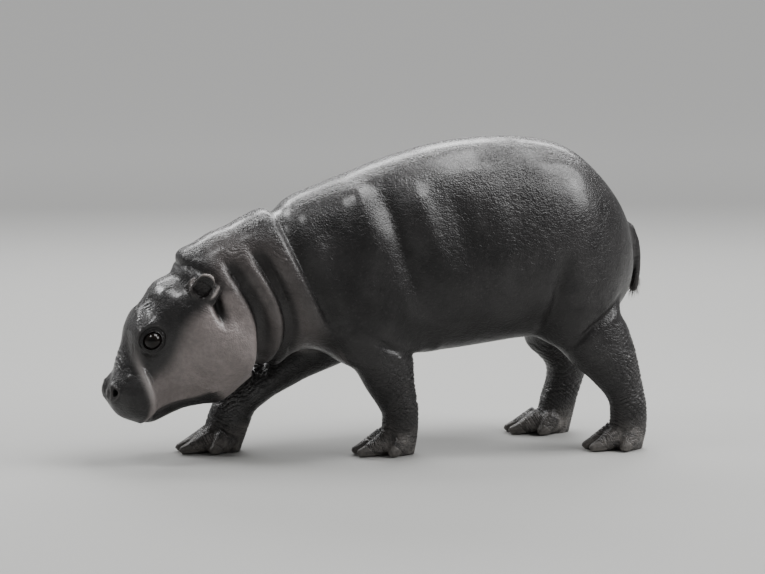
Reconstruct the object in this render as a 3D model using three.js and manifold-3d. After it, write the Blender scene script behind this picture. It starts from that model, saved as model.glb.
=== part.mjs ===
// Pygmy hippopotamus calf, four to five months old, in mid stride. A still, life-size model.
// Millimetres, +Z up. The nose points to -X, the left side faces -Y, the soles are on the floor.
// The flesh is modelled whole, from swept forms, and parted into its named pieces by thin cuts.

import * as THREE from "three";
import { LoftGeometry } from "three/addons/geometries/LoftGeometry.js";
import { mergeVertices } from "three/addons/utils/BufferGeometryUtils.js";
import Module from "manifold-3d";

const wasm = await Module();
wasm.setup();

// ---------------------------------------------------------------- driving dimensions

const GAP = 0.3; // clearance left by every cut
const LEFT = -1; // a side of the animal, as the sign of Y
const RIGHT = 1;

const HEAD_PITCH = THREE.MathUtils.degToRad(42); // how far the nose hangs below level
const HEAD_PIVOT = [-250, 0, 225]; // the middle of the back of the skull
const MOUTH_SLOPE = 22; // degrees that the line of the mouth climbs from the lips to its corner

const EYE_RADIUS = 14.5;
const EYE = { forward: 120, up: 73, out: 54 }; // centre of the eyeball, from the head's pivot
const NOSTRIL = { forward: 221, up: 52, out: 21 };
const NOSTRIL_RADII = [7, 5, 10];

const EAR_LENGTH = 47;
const EAR_WIDTH = 40;
const EAR_THICKNESS = 13;
const EAR_ROOT = [-324, -74, 262];
const EAR_TURN = [24, 23, -23]; // degrees: leaning out, tipped back, hollow turned forward

const NECK_LENGTH = 178; // the stretch that carries the rolls of loose skin
const ROLL_WIDTH = 56;
const ROLL_DEPTH = 9;

const ANKLE_HEIGHT = 50; // where a foot is parted from its leg
const HORN_HEIGHT = 8; // where the length of a toe's horn is measured
const SHORT_TOE_CLEAR = 3;
const HOOF_LEAN = 45; // degrees that the horn's upper edge leans forward from upright

// ---------------------------------------------------------------- materials

const HIDE = { color: 0x2b2827, roughness: 0.42, metalness: 0 };
const EYE_GLOSS = { color: 0x120c09, roughness: 0.08, metalness: 0 };
const HORN = { color: 0x5a524c, roughness: 0.5, metalness: 0 };

// ---------------------------------------------------------------- shaping tools

const UP = new THREE.Vector3(0, 0, 1);
const vector = (p) => new THREE.Vector3(...p);
const radians = (degrees) => degrees.map(THREE.MathUtils.degToRad);

// One place along a spine: its centre, and how far the flesh reaches over it (up, or to the
// rear of a leg), under it (down, or to the front of a leg) and to each side.
const station = (at, over, under, side) => ({ at, over, under, side });

// An ellipsoid of flesh that swells out of a swept form, as the matrix that shrinks it to a
// unit sphere. `turn` is in degrees about X, Y and Z.
function bulge(at, radii, turn = [0, 0, 0]) {
  const lie = new THREE.Quaternion().setFromEuler(new THREE.Euler(...radians(turn)));
  return new THREE.Matrix4().compose(vector(at), lie, vector(radii)).invert();
}

// How far from `origin` along `direction` a ray leaves the bulge, or 0 where it misses.
function exitDistance(toUnitSphere, origin, direction) {
  const start = origin.clone().applyMatrix4(toUnitSphere);
  const step = origin.clone().add(direction).applyMatrix4(toUnitSphere).sub(start);
  const a = step.lengthSq();
  const b = start.dot(step);
  const inside = b * b - a * (start.lengthSq() - 1);
  return inside > 0 ? (Math.sqrt(inside) - b) / a : 0;
}

// The larger of two radii, with the corner between them rounded over a width of `blend`.
function smoothMax(a, b, blend) {
  const overlap = Math.max(blend - Math.abs(a - b), 0) / blend;
  return Math.max(a, b) + (overlap * overlap * blend) / 4;
}

// A quarter ellipse: nearly 0 at the very end of a form, 1 from `length` on.
function roundedEnd(distance, length) {
  const left = 1 - Math.min(distance / length, 1);
  return Math.max(Math.sqrt(1 - left * left), 0.04);
}

// A closed form swept along the stations. Its section is a full ellipse (fullness 2) or
// squarer, its two ends are rounded over the lengths in `caps`, the bulges swell out of it
// with a soft edge `blend` wide, and `swell` adds to its radius along the way.
function sweep({
  stations,
  rings,
  sides,
  caps,
  fullness = 2.2,
  bulges = [],
  blend = 24,
  swell = () => 0,
}) {
  const spine = new THREE.CatmullRomCurve3(stations.map((s) => vector(s.at)));
  const reach = new THREE.CatmullRomCurve3(
    stations.map((s) => new THREE.Vector3(s.over, s.under, s.side)),
  );
  const centres = [];
  for (let i = 0; i <= rings; i++) {
    const t = (1 - Math.cos((Math.PI * i) / rings)) / 2; // rings crowd towards the ends
    const at = spine.getPoint(t);
    const along = i ? centres[i - 1].along + at.distanceTo(centres[i - 1].at) : 0;
    centres.push({ t, at, along });
  }
  const length = centres[rings].along;
  const sections = centres.map(({ t, at, along }) => {
    const tangent = spine.getTangent(t);
    const across = new THREE.Vector3(0, 1, 0).addScaledVector(tangent, -tangent.y).normalize();
    const over = new THREE.Vector3().crossVectors(tangent, across);
    const size = reach.getPoint(t);
    const round = roundedEnd(along, caps[0]) * roundedEnd(length - along, caps[1]);
    const section = [];
    for (let j = 0; j < sides; j++) {
      const angle = (2 * Math.PI * j) / sides;
      const sideways = Math.cos(angle);
      const overness = Math.sin(angle);
      const tall = overness > 0 ? size.x : size.y;
      const power = Math.abs(sideways / size.z) ** fullness + Math.abs(overness / tall) ** fullness;
      const direction = across.clone().multiplyScalar(sideways).addScaledVector(over, overness);
      let radius = round * (power ** (-1 / fullness) + swell(along, overness));
      for (const form of bulges) {
        radius = smoothMax(radius, exitDistance(form, at, direction), blend);
      }
      section.push(at.clone().addScaledVector(direction, radius));
    }
    return section;
  });
  return new LoftGeometry(sections, { capStart: true, capEnd: true });
}

// A geometry as a solid that can be joined and cut.
function solid(geometry) {
  const bare = new THREE.BufferGeometry();
  bare.setAttribute("position", geometry.getAttribute("position"));
  bare.setIndex(geometry.getIndex());
  const merged = mergeVertices(bare, 1e-3);
  const corners = merged.index.array;
  const whole = [];
  for (let i = 0; i < corners.length; i += 3) {
    const [a, b, c] = corners.subarray(i, i + 3);
    if (a !== b && b !== c && c !== a) whole.push(a, b, c); // a sphere's poles hold flat ones
  }
  return new wasm.Manifold(
    new wasm.Mesh({
      numProp: 3,
      vertProperties: merged.getAttribute("position").array,
      triVerts: new Uint32Array(whole),
    }),
  );
}

// A form drawn for the left side, mirrored where it is wanted on the right.
function onSide(side, geometry) {
  if (side === LEFT) return geometry;
  const corners = geometry.scale(1, -1, 1).getIndex().array;
  for (let i = 0; i < corners.length; i += 3) {
    [corners[i], corners[i + 1]] = [corners[i + 1], corners[i]];
  }
  return geometry;
}

const ellipsoid = (at, radii, segments) =>
  new THREE.SphereGeometry(1, segments, Math.round(segments * 0.7))
    .scale(...radii)
    .translate(...at);

// A block to cut with. Its frame sits at the middle of the cutting face, and the block fills
// the side away from the frame's +Z. `turn` is in degrees, about X, then Y, then Z. `rise`
// tilts the cutting face alone: how much it climbs for each millimetre of X and of Y.
function block({ at, size: [length, width, depth], turn = [0, 0, 0], rise = [0, 0] }, grow = 0) {
  const box = new THREE.BoxGeometry(length + 2 * grow, width + 2 * grow, depth + 2 * grow);
  box.translate(0, 0, -depth / 2);
  box.applyMatrix4(new THREE.Matrix4().makeShear(0, rise[0], 0, rise[1], 0, 0));
  const lie = new THREE.Euler(...radians(turn), "ZYX");
  const frame = new THREE.Matrix4().makeRotationFromEuler(lie).setPosition(...at);
  return solid(box.applyMatrix4(frame));
}

const largest = (body) =>
  body.decompose().reduce((best, piece) => (piece.volume() > best.volume() ? piece : best));

// Parts a body with a thin cut: the piece inside the block, and what is left of the body.
function part(body, cut) {
  return [largest(body.intersect(block(cut))), largest(body.subtract(block(cut, GAP)))];
}

// ---------------------------------------------------------------- torso: neck and trunk

// Rolls of loose skin round the neck, deepest under the throat.
function neckRolls(along, overness) {
  if (along > NECK_LENGTH) return 0;
  const wave = Math.abs(Math.sin((Math.PI * along) / ROLL_WIDTH));
  return ROLL_DEPTH * (wave - 0.7) * (0.75 - 0.25 * overness);
}

const torsoForm = () =>
  sweep({
    stations: [
      station([-330, 0, 228], 92, 80, 74),
      station([-262, 0, 252], 106, 104, 84),
      station([-185, 0, 277], 115, 116, 98),
      station([-90, 0, 297], 134, 132, 114),
      station([0, 0, 304], 164, 146, 128),
      station([100, 0, 306], 189, 143, 140),
      station([200, 0, 304], 196, 129, 143),
      station([300, 0, 304], 181, 120, 132),
      station([406, 0, 312], 150, 138, 118),
    ],
    rings: 32,
    sides: 24,
    caps: [26, 132],
    fullness: 2.3,
    swell: neckRolls,
    bulges: [
      bulge([-194, 0, 196], [31, 66, 66]), // the roll that hangs lowest under the throat
      ...[LEFT, RIGHT].flatMap((side) => [
        bulge([-36, side * 60, 248], [80, 62, 118], [0, 18, 0]), // shoulder
        bulge([292, side * 60, 248], [68, 64, 108], [0, -4, 0]), // haunch
      ]),
    ],
  });

const tailForm = (grow = 0) =>
  sweep({
    stations: [
      station([376, 0, 354], 15 + grow, 15 + grow, 17 + grow),
      station([403, 0, 342], 12 + grow, 13 + grow, 15 + grow),
      station([416, 1, 310], 8.5 + grow, 9 + grow, 11 + grow),
      station([418, 1, 276], 7 + grow, 7 + grow, 9 + grow),
      station([413, 1, 240 - grow], 5.5 + grow, 5.5 + grow, 7 + grow),
    ],
    rings: 9,
    sides: 8,
    caps: [6, 7],
    fullness: 2,
  });

// ---------------------------------------------------------------- head

// In the head's own frame the nose points to -X and the crown to +Z.
const headFrame = new THREE.Matrix4().makeRotationY(-HEAD_PITCH).setPosition(...HEAD_PIVOT);
const inHead = ({ forward, up, out }, side) => [-forward, side * out, up];

const skullForm = () =>
  sweep({
    stations: [
      station([-237, 0, 22], 30, 34, 43),
      station([-218, 0, 21], 40, 45, 46),
      station([-190, 0, 20], 51, 58, 45),
      station([-155, 0, 24], 66, 79, 47),
      station([-122, 0, 26], 88, 99, 60),
      station([-90, 0, 24], 98, 109, 73),
      station([-55, 0, 22], 104, 107, 86),
      station([-15, 0, 22], 92, 103, 86),
      station([26, 0, 22], 80, 96, 74),
    ],
    rings: 23,
    sides: 22,
    caps: [34, 40],
    fullness: 2.35,
    blend: 16,
    bulges: [LEFT, RIGHT].flatMap((side) => [
      bulge([-46, side * 50, -10], [60, 48, 63]), // jowl
      bulge([-118, side * 38, 76], [38, 30, 30], [0, -20, 0]), // brow and eye socket
      bulge([-188, side * 27, 18], [36, 31, 39], [0, -4, 0]), // lip pad
      bulge([-212, side * 22, 46], [24, 17, 17]), // rim of the nostril
    ]),
  }).applyMatrix4(headFrame);

const eyeball = (side, grow = 0) =>
  new THREE.SphereGeometry(EYE_RADIUS + grow, 12, 8)
    .translate(...inHead(EYE, side))
    .applyMatrix4(headFrame);

const nostrilPit = (side) =>
  ellipsoid(inHead(NOSTRIL, side), NOSTRIL_RADII, 7).applyMatrix4(headFrame);

// The mouth: everything below the lip pad, from the corner of the mouth forward.
const JAW_CUT = {
  at: vector([-178, 0, -21]).applyMatrix4(headFrame).toArray(),
  size: [140, 220, 90],
  turn: [0, -MOUTH_SLOPE, 0],
};
const HEAD_CUT = { at: [-215, 0, 162], size: [520, 320, 420], turn: [0, 50, 0] };
const NECK_CUT = { at: [-98, 0, 230], size: [520, 400, 300], turn: [0, 61, 0] };

// ---------------------------------------------------------------- ears

const earFrame = new THREE.Matrix4()
  .makeRotationFromEuler(new THREE.Euler(...radians(EAR_TURN)))
  .setPosition(...EAR_ROOT);

// The ear in its own frame: root at the origin, tip up, hollow facing -Y.
function earForm(grow = 0) {
  const half = EAR_WIDTH / 2 + grow;
  const thick = EAR_THICKNESS / 2 + grow;
  return sweep({
    stations: [
      station([0, 6, -16], half * 0.55, half * 0.5, thick),
      station([0, 3, 2], half * 0.8, half * 0.75, thick),
      station([0, 0, EAR_LENGTH * 0.45], half, half, thick),
      station([0, -2, EAR_LENGTH * 0.8], half * 0.86, half * 0.9, thick * 0.85),
      station([2, -3, EAR_LENGTH + grow], half * 0.5, half * 0.55, thick * 0.7),
    ],
    rings: 7,
    sides: 10,
    caps: [8, 14],
    fullness: 2,
  });
}

const earHollow = () =>
  ellipsoid([0, -7.5, EAR_LENGTH * 0.48], [EAR_WIDTH * 0.4, 9, EAR_LENGTH * 0.43], 8);

const placedEar = (side, geometry) => onSide(side, geometry.applyMatrix4(earFrame));

// ---------------------------------------------------------------- legs

// Reach to the rear, to the front and to each side, from the shoulder or hip to the sole.
const FORELEG = [
  [58, 58, 36],
  [56, 54, 42],
  [38, 39, 36],
  [28, 29, 28],
  [29, 29, 26],
  [26, 22, 23],
];
const STRIDING_FORELEG = [
  ...FORELEG.slice(0, 3),
  [30, 36, 28],
  [31, 39, 28],
  [27, 30, 25],
];
const HINDLEG = [
  [44, 62, 40],
  [59, 58, 44],
  [44, 36, 35],
  [29, 28, 28],
  [31, 29, 27],
  [28, 22, 24],
];

// A limb: its joints from the shoulder or hip to the sole, the middle of its foot and how
// far that foot turns out, in degrees, and the thin cut that parts it from the trunk.
const LIMBS = [
  {
    kind: "fore",
    side: LEFT,
    reaches: FORELEG,
    joints: [
      [-36, -62, 262],
      [-32, -70, 182],
      [-12, -63, 118],
      [7, -50, 74],
      [9, -40, 40],
      [6, -36, -6],
    ],
    stand: [-6, -34],
    heading: 6,
    cut: { at: [-24, -76, 164], size: [200, 150, 240], rise: [0, -0.7] },
  },
  {
    kind: "fore",
    side: RIGHT,
    reaches: STRIDING_FORELEG,
    joints: [
      [-22, 72, 250],
      [-66, 74, 190],
      [-152, 70, 137],
      [-226, 63, 84],
      [-244, 60, 48],
      [-260, 58, -6],
    ],
    stand: [-271, 58],
    heading: 0,
    cut: { at: [-192, 76, 161], size: [338, 150, 240], rise: [0.12, 0.5] },
  },
  {
    kind: "hind",
    side: LEFT,
    reaches: HINDLEG,
    joints: [
      [298, -60, 262],
      [318, -76, 184],
      [352, -86, 124],
      [371, -90, 84],
      [375, -88, 46],
      [369, -86, -6],
    ],
    stand: [362, -84],
    heading: 8,
    cut: { at: [336, -85, 190], size: [200, 168, 260], rise: [0.5, -0.6] },
  },
  {
    kind: "hind",
    side: RIGHT,
    reaches: HINDLEG,
    joints: [
      [286, 60, 262],
      [300, 76, 186],
      [327, 86, 126],
      [324, 86, 84],
      [312, 86, 46],
      [303, 85, -6],
    ],
    stand: [286, 84],
    heading: 4,
    cut: { at: [318, 85, 186], size: [220, 168, 260], rise: [0.4, 0.6] },
  },
];

const legForm = ({ joints, reaches }) =>
  sweep({
    stations: joints.map((at, i) => station(at, ...reaches[i])),
    rings: 12,
    sides: 12,
    caps: [50, 4],
  });

// ---------------------------------------------------------------- toes and hooves

// Four toes, drawn for a left foot: where each ends and roots, forward and outward of the
// foot's middle, the length of its horn, and its sections from tip to root: the height of
// their middle, and their reach up, down and sideways.
const LONG_TOE = [
  [6, 4.5, 6.5, 6],
  [9.5, 8, 10.5, 9.5],
  [14, 12, 15, 12.5],
  [20, 16, 21, 14],
  [26, 20, 27, 14.5],
];
const SHORT_TOE = [
  [6, 5, 6.5, 6.5],
  [11, 9, 12, 10],
  [20, 13, 20, 12],
  [32, 15, 22, 13],
];
const TOES = [
  { name: "inner", tip: [15, -39], root: [-15, -21], horn: 19, sections: SHORT_TOE },
  { name: "second", tip: [60, -14], root: [2, -11], horn: 25, sections: LONG_TOE },
  { name: "third", tip: [61, 14], root: [2, 11], horn: 25, sections: LONG_TOE },
  { name: "outer", tip: [15, 39], root: [-15, 21], horn: 19, sections: SHORT_TOE },
];

function toeForm({ tip, root, sections }) {
  const stations = sections.map(([height, up, down, side], i) => {
    const share = i / (sections.length - 1);
    const forward = tip[0] + (root[0] - tip[0]) * share;
    const out = tip[1] + (root[1] - tip[1]) * share;
    return station([-forward, -out, height], up, down, side);
  });
  return sweep({ stations, rings: 6, sides: 8, caps: [7, 4] });
}

// How far a foot is spun about Z so that it turns out.
const footSpin = ({ side, heading }) => THREE.MathUtils.degToRad(-side * heading);

// Moves a form drawn for a left foot at the origin to the foot of a limb.
const atFoot = (limb, geometry) =>
  onSide(limb.side, geometry).rotateZ(footSpin(limb)).translate(...limb.stand, 0);

// The cut that parts the horn of a toe from its foot. A short toe's is moved outwards, clear
// of the long toe beside it.
function hoofCut(limb, { tip, root, horn, sections }) {
  const splay = Math.atan2(tip[1] - root[1], tip[0] - root[0]);
  const clear = Math.sign(tip[1]) * (sections === SHORT_TOE ? SHORT_TOE_CLEAR : 0);
  const forward = tip[0] - horn * Math.cos(splay) - clear * Math.sin(splay);
  const out = tip[1] - horn * Math.sin(splay) + clear * Math.cos(splay);
  const spin = footSpin(limb);
  const at = vector([-forward, limb.side * out, HORN_HEIGHT]).applyAxisAngle(UP, spin);
  return {
    at: at.add(vector([...limb.stand, 0])).toArray(),
    size: [70, 2 * (sections[2][3] - Math.abs(clear)), 2 * horn],
    turn: [0, 90 - HOOF_LEAN, THREE.MathUtils.radToDeg(spin - limb.side * splay)],
  };
}

// ---------------------------------------------------------------- joining and parting

const calf = new THREE.Group();

function addNode(name, body, finish) {
  const mesh = body.getMesh();
  const geometry = new THREE.BufferGeometry();
  geometry.setAttribute("position", new THREE.BufferAttribute(mesh.vertProperties, 3));
  geometry.setIndex(new THREE.BufferAttribute(mesh.triVerts, 1));
  geometry.computeVertexNormals();
  const node = new THREE.Mesh(geometry, new THREE.MeshStandardMaterial(finish));
  node.name = name;
  calf.add(node);
}

const sideName = (side) => (side === LEFT ? "left" : "right");

// Parts a leg from the flesh, then its foot, then the horn of each toe.
function addLimb(limb, flesh) {
  const name = sideName(limb.side);
  const [whole, rest] = part(flesh, limb.cut);
  const ankle = { at: [...limb.stand, ANKLE_HEIGHT], size: [260, 200, 100] };
  let [foot, leg] = part(whole, ankle);
  for (const toe of TOES) {
    const [hoof, hoofless] = part(foot, hoofCut(limb, toe));
    addNode(`hoof_${limb.kind}_${name}_${toe.name}`, hoof, HORN);
    foot = hoofless;
  }
  addNode(`${limb.kind}foot_${name}`, foot, HIDE);
  addNode(`${limb.kind}leg_${name}`, leg, HIDE);
  return rest;
}

// Sets an eye and an ear in the flesh of one side, and opens its nostril.
function addEyeAndEar(side, flesh) {
  const ear = solid(placedEar(side, earForm())).subtract(solid(placedEar(side, earHollow())));
  addNode(`eye_${sideName(side)}`, solid(eyeball(side)), EYE_GLOSS);
  addNode(`ear_${sideName(side)}`, ear, HIDE);
  return flesh
    .subtract(solid(eyeball(side, GAP)))
    .subtract(solid(placedEar(side, earForm(GAP))))
    .subtract(solid(nostrilPit(side)));
}

let flesh = solid(torsoForm());
for (const limb of LIMBS) {
  flesh = flesh.add(solid(legForm(limb)));
  for (const toe of TOES) flesh = flesh.add(solid(atFoot(limb, toeForm(toe))));
}
flesh = flesh.subtract(block({ at: [0, 0, 0], size: [1400, 600, 100] })); // flattens the soles
for (const limb of LIMBS) flesh = addLimb(limb, flesh);

flesh = flesh.add(solid(skullForm())).subtract(solid(tailForm(GAP)));
for (const side of [LEFT, RIGHT]) flesh = addEyeAndEar(side, flesh);

const [wholeHead, headless] = part(flesh, HEAD_CUT);
const [lowerJaw, head] = part(wholeHead, JAW_CUT);
const [neck, trunk] = part(headless, NECK_CUT);
addNode("head", head, HIDE);
addNode("lower_jaw", lowerJaw, HIDE);
addNode("neck", neck, HIDE);
addNode("trunk", trunk, HIDE);
addNode("tail", solid(tailForm()), HIDE);

// The frame's origin is the middle of the footprint, on the floor.
const extent = new THREE.Box3().setFromObject(calf);
const middle = extent.getCenter(new THREE.Vector3());
calf.position.set(-middle.x, -middle.y, -extent.min.z);

export default calf;
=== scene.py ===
"""Looks of a still, life-size pygmy hippopotamus calf: one skin, eyes, hooves and bristles.

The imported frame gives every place. Shapes are worked in millimetres, in the frame's own
axes: the nose points to -X, the left side faces -Y, and the soles stand on Z = 0.
"""

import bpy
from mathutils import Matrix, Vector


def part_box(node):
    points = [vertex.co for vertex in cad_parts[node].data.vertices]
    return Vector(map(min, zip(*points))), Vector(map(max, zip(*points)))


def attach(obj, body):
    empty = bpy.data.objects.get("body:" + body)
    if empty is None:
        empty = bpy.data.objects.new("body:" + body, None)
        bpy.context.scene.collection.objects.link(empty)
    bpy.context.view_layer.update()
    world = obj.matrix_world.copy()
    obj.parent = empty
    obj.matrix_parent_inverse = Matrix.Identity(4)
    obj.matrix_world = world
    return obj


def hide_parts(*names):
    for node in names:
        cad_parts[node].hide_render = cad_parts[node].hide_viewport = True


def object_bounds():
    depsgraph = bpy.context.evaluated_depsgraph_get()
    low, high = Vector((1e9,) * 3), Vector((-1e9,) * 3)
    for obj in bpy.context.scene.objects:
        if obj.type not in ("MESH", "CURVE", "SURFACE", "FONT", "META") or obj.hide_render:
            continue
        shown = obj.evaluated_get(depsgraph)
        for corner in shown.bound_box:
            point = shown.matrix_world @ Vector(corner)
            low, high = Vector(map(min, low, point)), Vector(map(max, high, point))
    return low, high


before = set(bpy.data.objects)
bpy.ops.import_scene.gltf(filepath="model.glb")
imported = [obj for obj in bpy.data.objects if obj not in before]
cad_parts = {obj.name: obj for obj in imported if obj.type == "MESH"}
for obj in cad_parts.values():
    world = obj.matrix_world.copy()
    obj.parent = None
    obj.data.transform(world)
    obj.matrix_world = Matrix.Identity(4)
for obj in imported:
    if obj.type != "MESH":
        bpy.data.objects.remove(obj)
CAD_BOX = [list(corner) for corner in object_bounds()]

import logging
import math
from collections.abc import Sequence
from dataclasses import dataclass, field
from enum import Enum

import bpy
import numpy as np
from mathutils import Vector
from mathutils.bvhtree import BVHTree

LOG = logging.getLogger("calf")
MM = 0.001  # metres in a millimetre
LEFT, RIGHT = -1, 1  # a side of the animal, as the sign of Y

# ------------------------------------------------------------------ places in the frame

HEAD_PITCH = math.radians(42)  # how far the nose hangs below level
EYE_FORWARD, EYE_UP = 120.0, 73.0  # the eyes' middle, from the back of the skull


def node_box(name: str) -> tuple[np.ndarray, np.ndarray]:
    """Gives the lowest and highest corner of a node, in millimetres.

    Args:
        name: the node's name.

    Returns:
        The two corners.
    """
    low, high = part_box(name)
    return np.array(low) / MM, np.array(high) / MM


def node_shape(name: str) -> tuple[list[Vector], list[tuple[int, ...]]]:
    """Gives a node's corners, in millimetres, and its faces."""
    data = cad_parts[name].data
    return [corner.co / MM for corner in data.vertices], [tuple(face.vertices) for face in data.polygons]


def node_middle(name: str) -> np.ndarray:
    """Gives the middle of a node's box, in millimetres."""
    low, high = node_box(name)
    return (low + high) / 2


@dataclass(frozen=True)
class HeadAxes:
    """The head's own axes: forward to the nose, up to the crown, and out to one side.

    Attributes:
        pivot: the middle of the back of the skull.
    """

    pivot: np.ndarray

    @classmethod
    def from_eyes(cls) -> "HeadAxes":
        """Finds the pivot from the middle between the two eyes."""
        middle = (node_middle("eye_left") + node_middle("eye_right")) / 2
        cos, sin = math.cos(HEAD_PITCH), math.sin(HEAD_PITCH)
        back = np.array(
            [EYE_FORWARD * cos + EYE_UP * sin, 0.0, EYE_FORWARD * sin - EYE_UP * cos]
        )
        return cls(middle + back)

    def split(self, points: np.ndarray) -> np.ndarray:
        """Gives each point's way forward, up and sideways in the head's axes."""
        x, y, z = (points - self.pivot).T
        cos, sin = math.cos(HEAD_PITCH), math.sin(HEAD_PITCH)
        return np.stack([-cos * x - sin * z, -sin * x + cos * z, y], axis=1)


# ------------------------------------------------------------------ curves and falloffs


def bell(distance: np.ndarray, width: float) -> np.ndarray:
    """Gives a soft hump: 1 at no distance, falling away over the width."""
    return np.exp(-((distance / width) ** 2))


def ramp(value: np.ndarray, start: float, end: float) -> np.ndarray:
    """Rises smoothly from 0 at start to 1 at end."""
    share = np.clip((value - start) / (end - start), 0, 1)
    return share * share * (3 - 2 * share)


def curve_through(stops: Sequence[Sequence[float]], steps: int = 14) -> np.ndarray:
    """Draws a smooth curve through a few points.

    Args:
        stops: the points, in order.
        steps: how many pieces each stretch is cut into.

    Returns:
        The curve's points.
    """
    knots = np.asarray(stops, float)
    padded = np.vstack([2 * knots[0] - knots[1], knots, 2 * knots[-1] - knots[-2]])
    share = np.linspace(0, 1, steps, endpoint=False)[:, None]
    pieces = []
    for a, b, c, d in zip(padded, padded[1:], padded[2:], padded[3:]):
        bend = 2 * a - 5 * b + 4 * c - d
        twist = 3 * b - a - 3 * c + d
        pieces.append(b + 0.5 * ((c - a) * share + bend * share**2 + twist * share**3))
    return np.vstack([*pieces, knots[-1:]])


def measure_from(path: np.ndarray, points: np.ndarray) -> tuple[np.ndarray, np.ndarray]:
    """Measures flat points from a path.

    Args:
        path: the path's points.
        points: the points to measure.

    Returns:
        The distance of each point, positive on the path's left, and how far along the path
        its nearest place lies, from 0 to 1.
    """
    starts, ways = path[:-1], np.diff(path, axis=0)
    lengths = np.linalg.norm(ways, axis=1)
    reached = np.concatenate([[0], np.cumsum(lengths)])
    best = np.full(len(points), np.inf)
    side = np.zeros(len(points))
    along = np.zeros(len(points))
    for start, way, length, done in zip(starts, ways, lengths, reached):
        offset = points - start
        share = np.clip(offset @ way / length**2, 0, 1)
        away = offset - share[:, None] * way
        distance = np.einsum("ij,ij->i", away, away)
        nearer = distance < best
        turn = way[0] * offset[:, 1] - way[1] * offset[:, 0]
        best = np.where(nearer, distance, best)
        side = np.where(nearer, np.sign(turn), side)
        along = np.where(nearer, done + share * length, along)
    return np.sqrt(best) * side, along / reached[-1]


# ------------------------------------------------------------------ a mesh to sculpt


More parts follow.
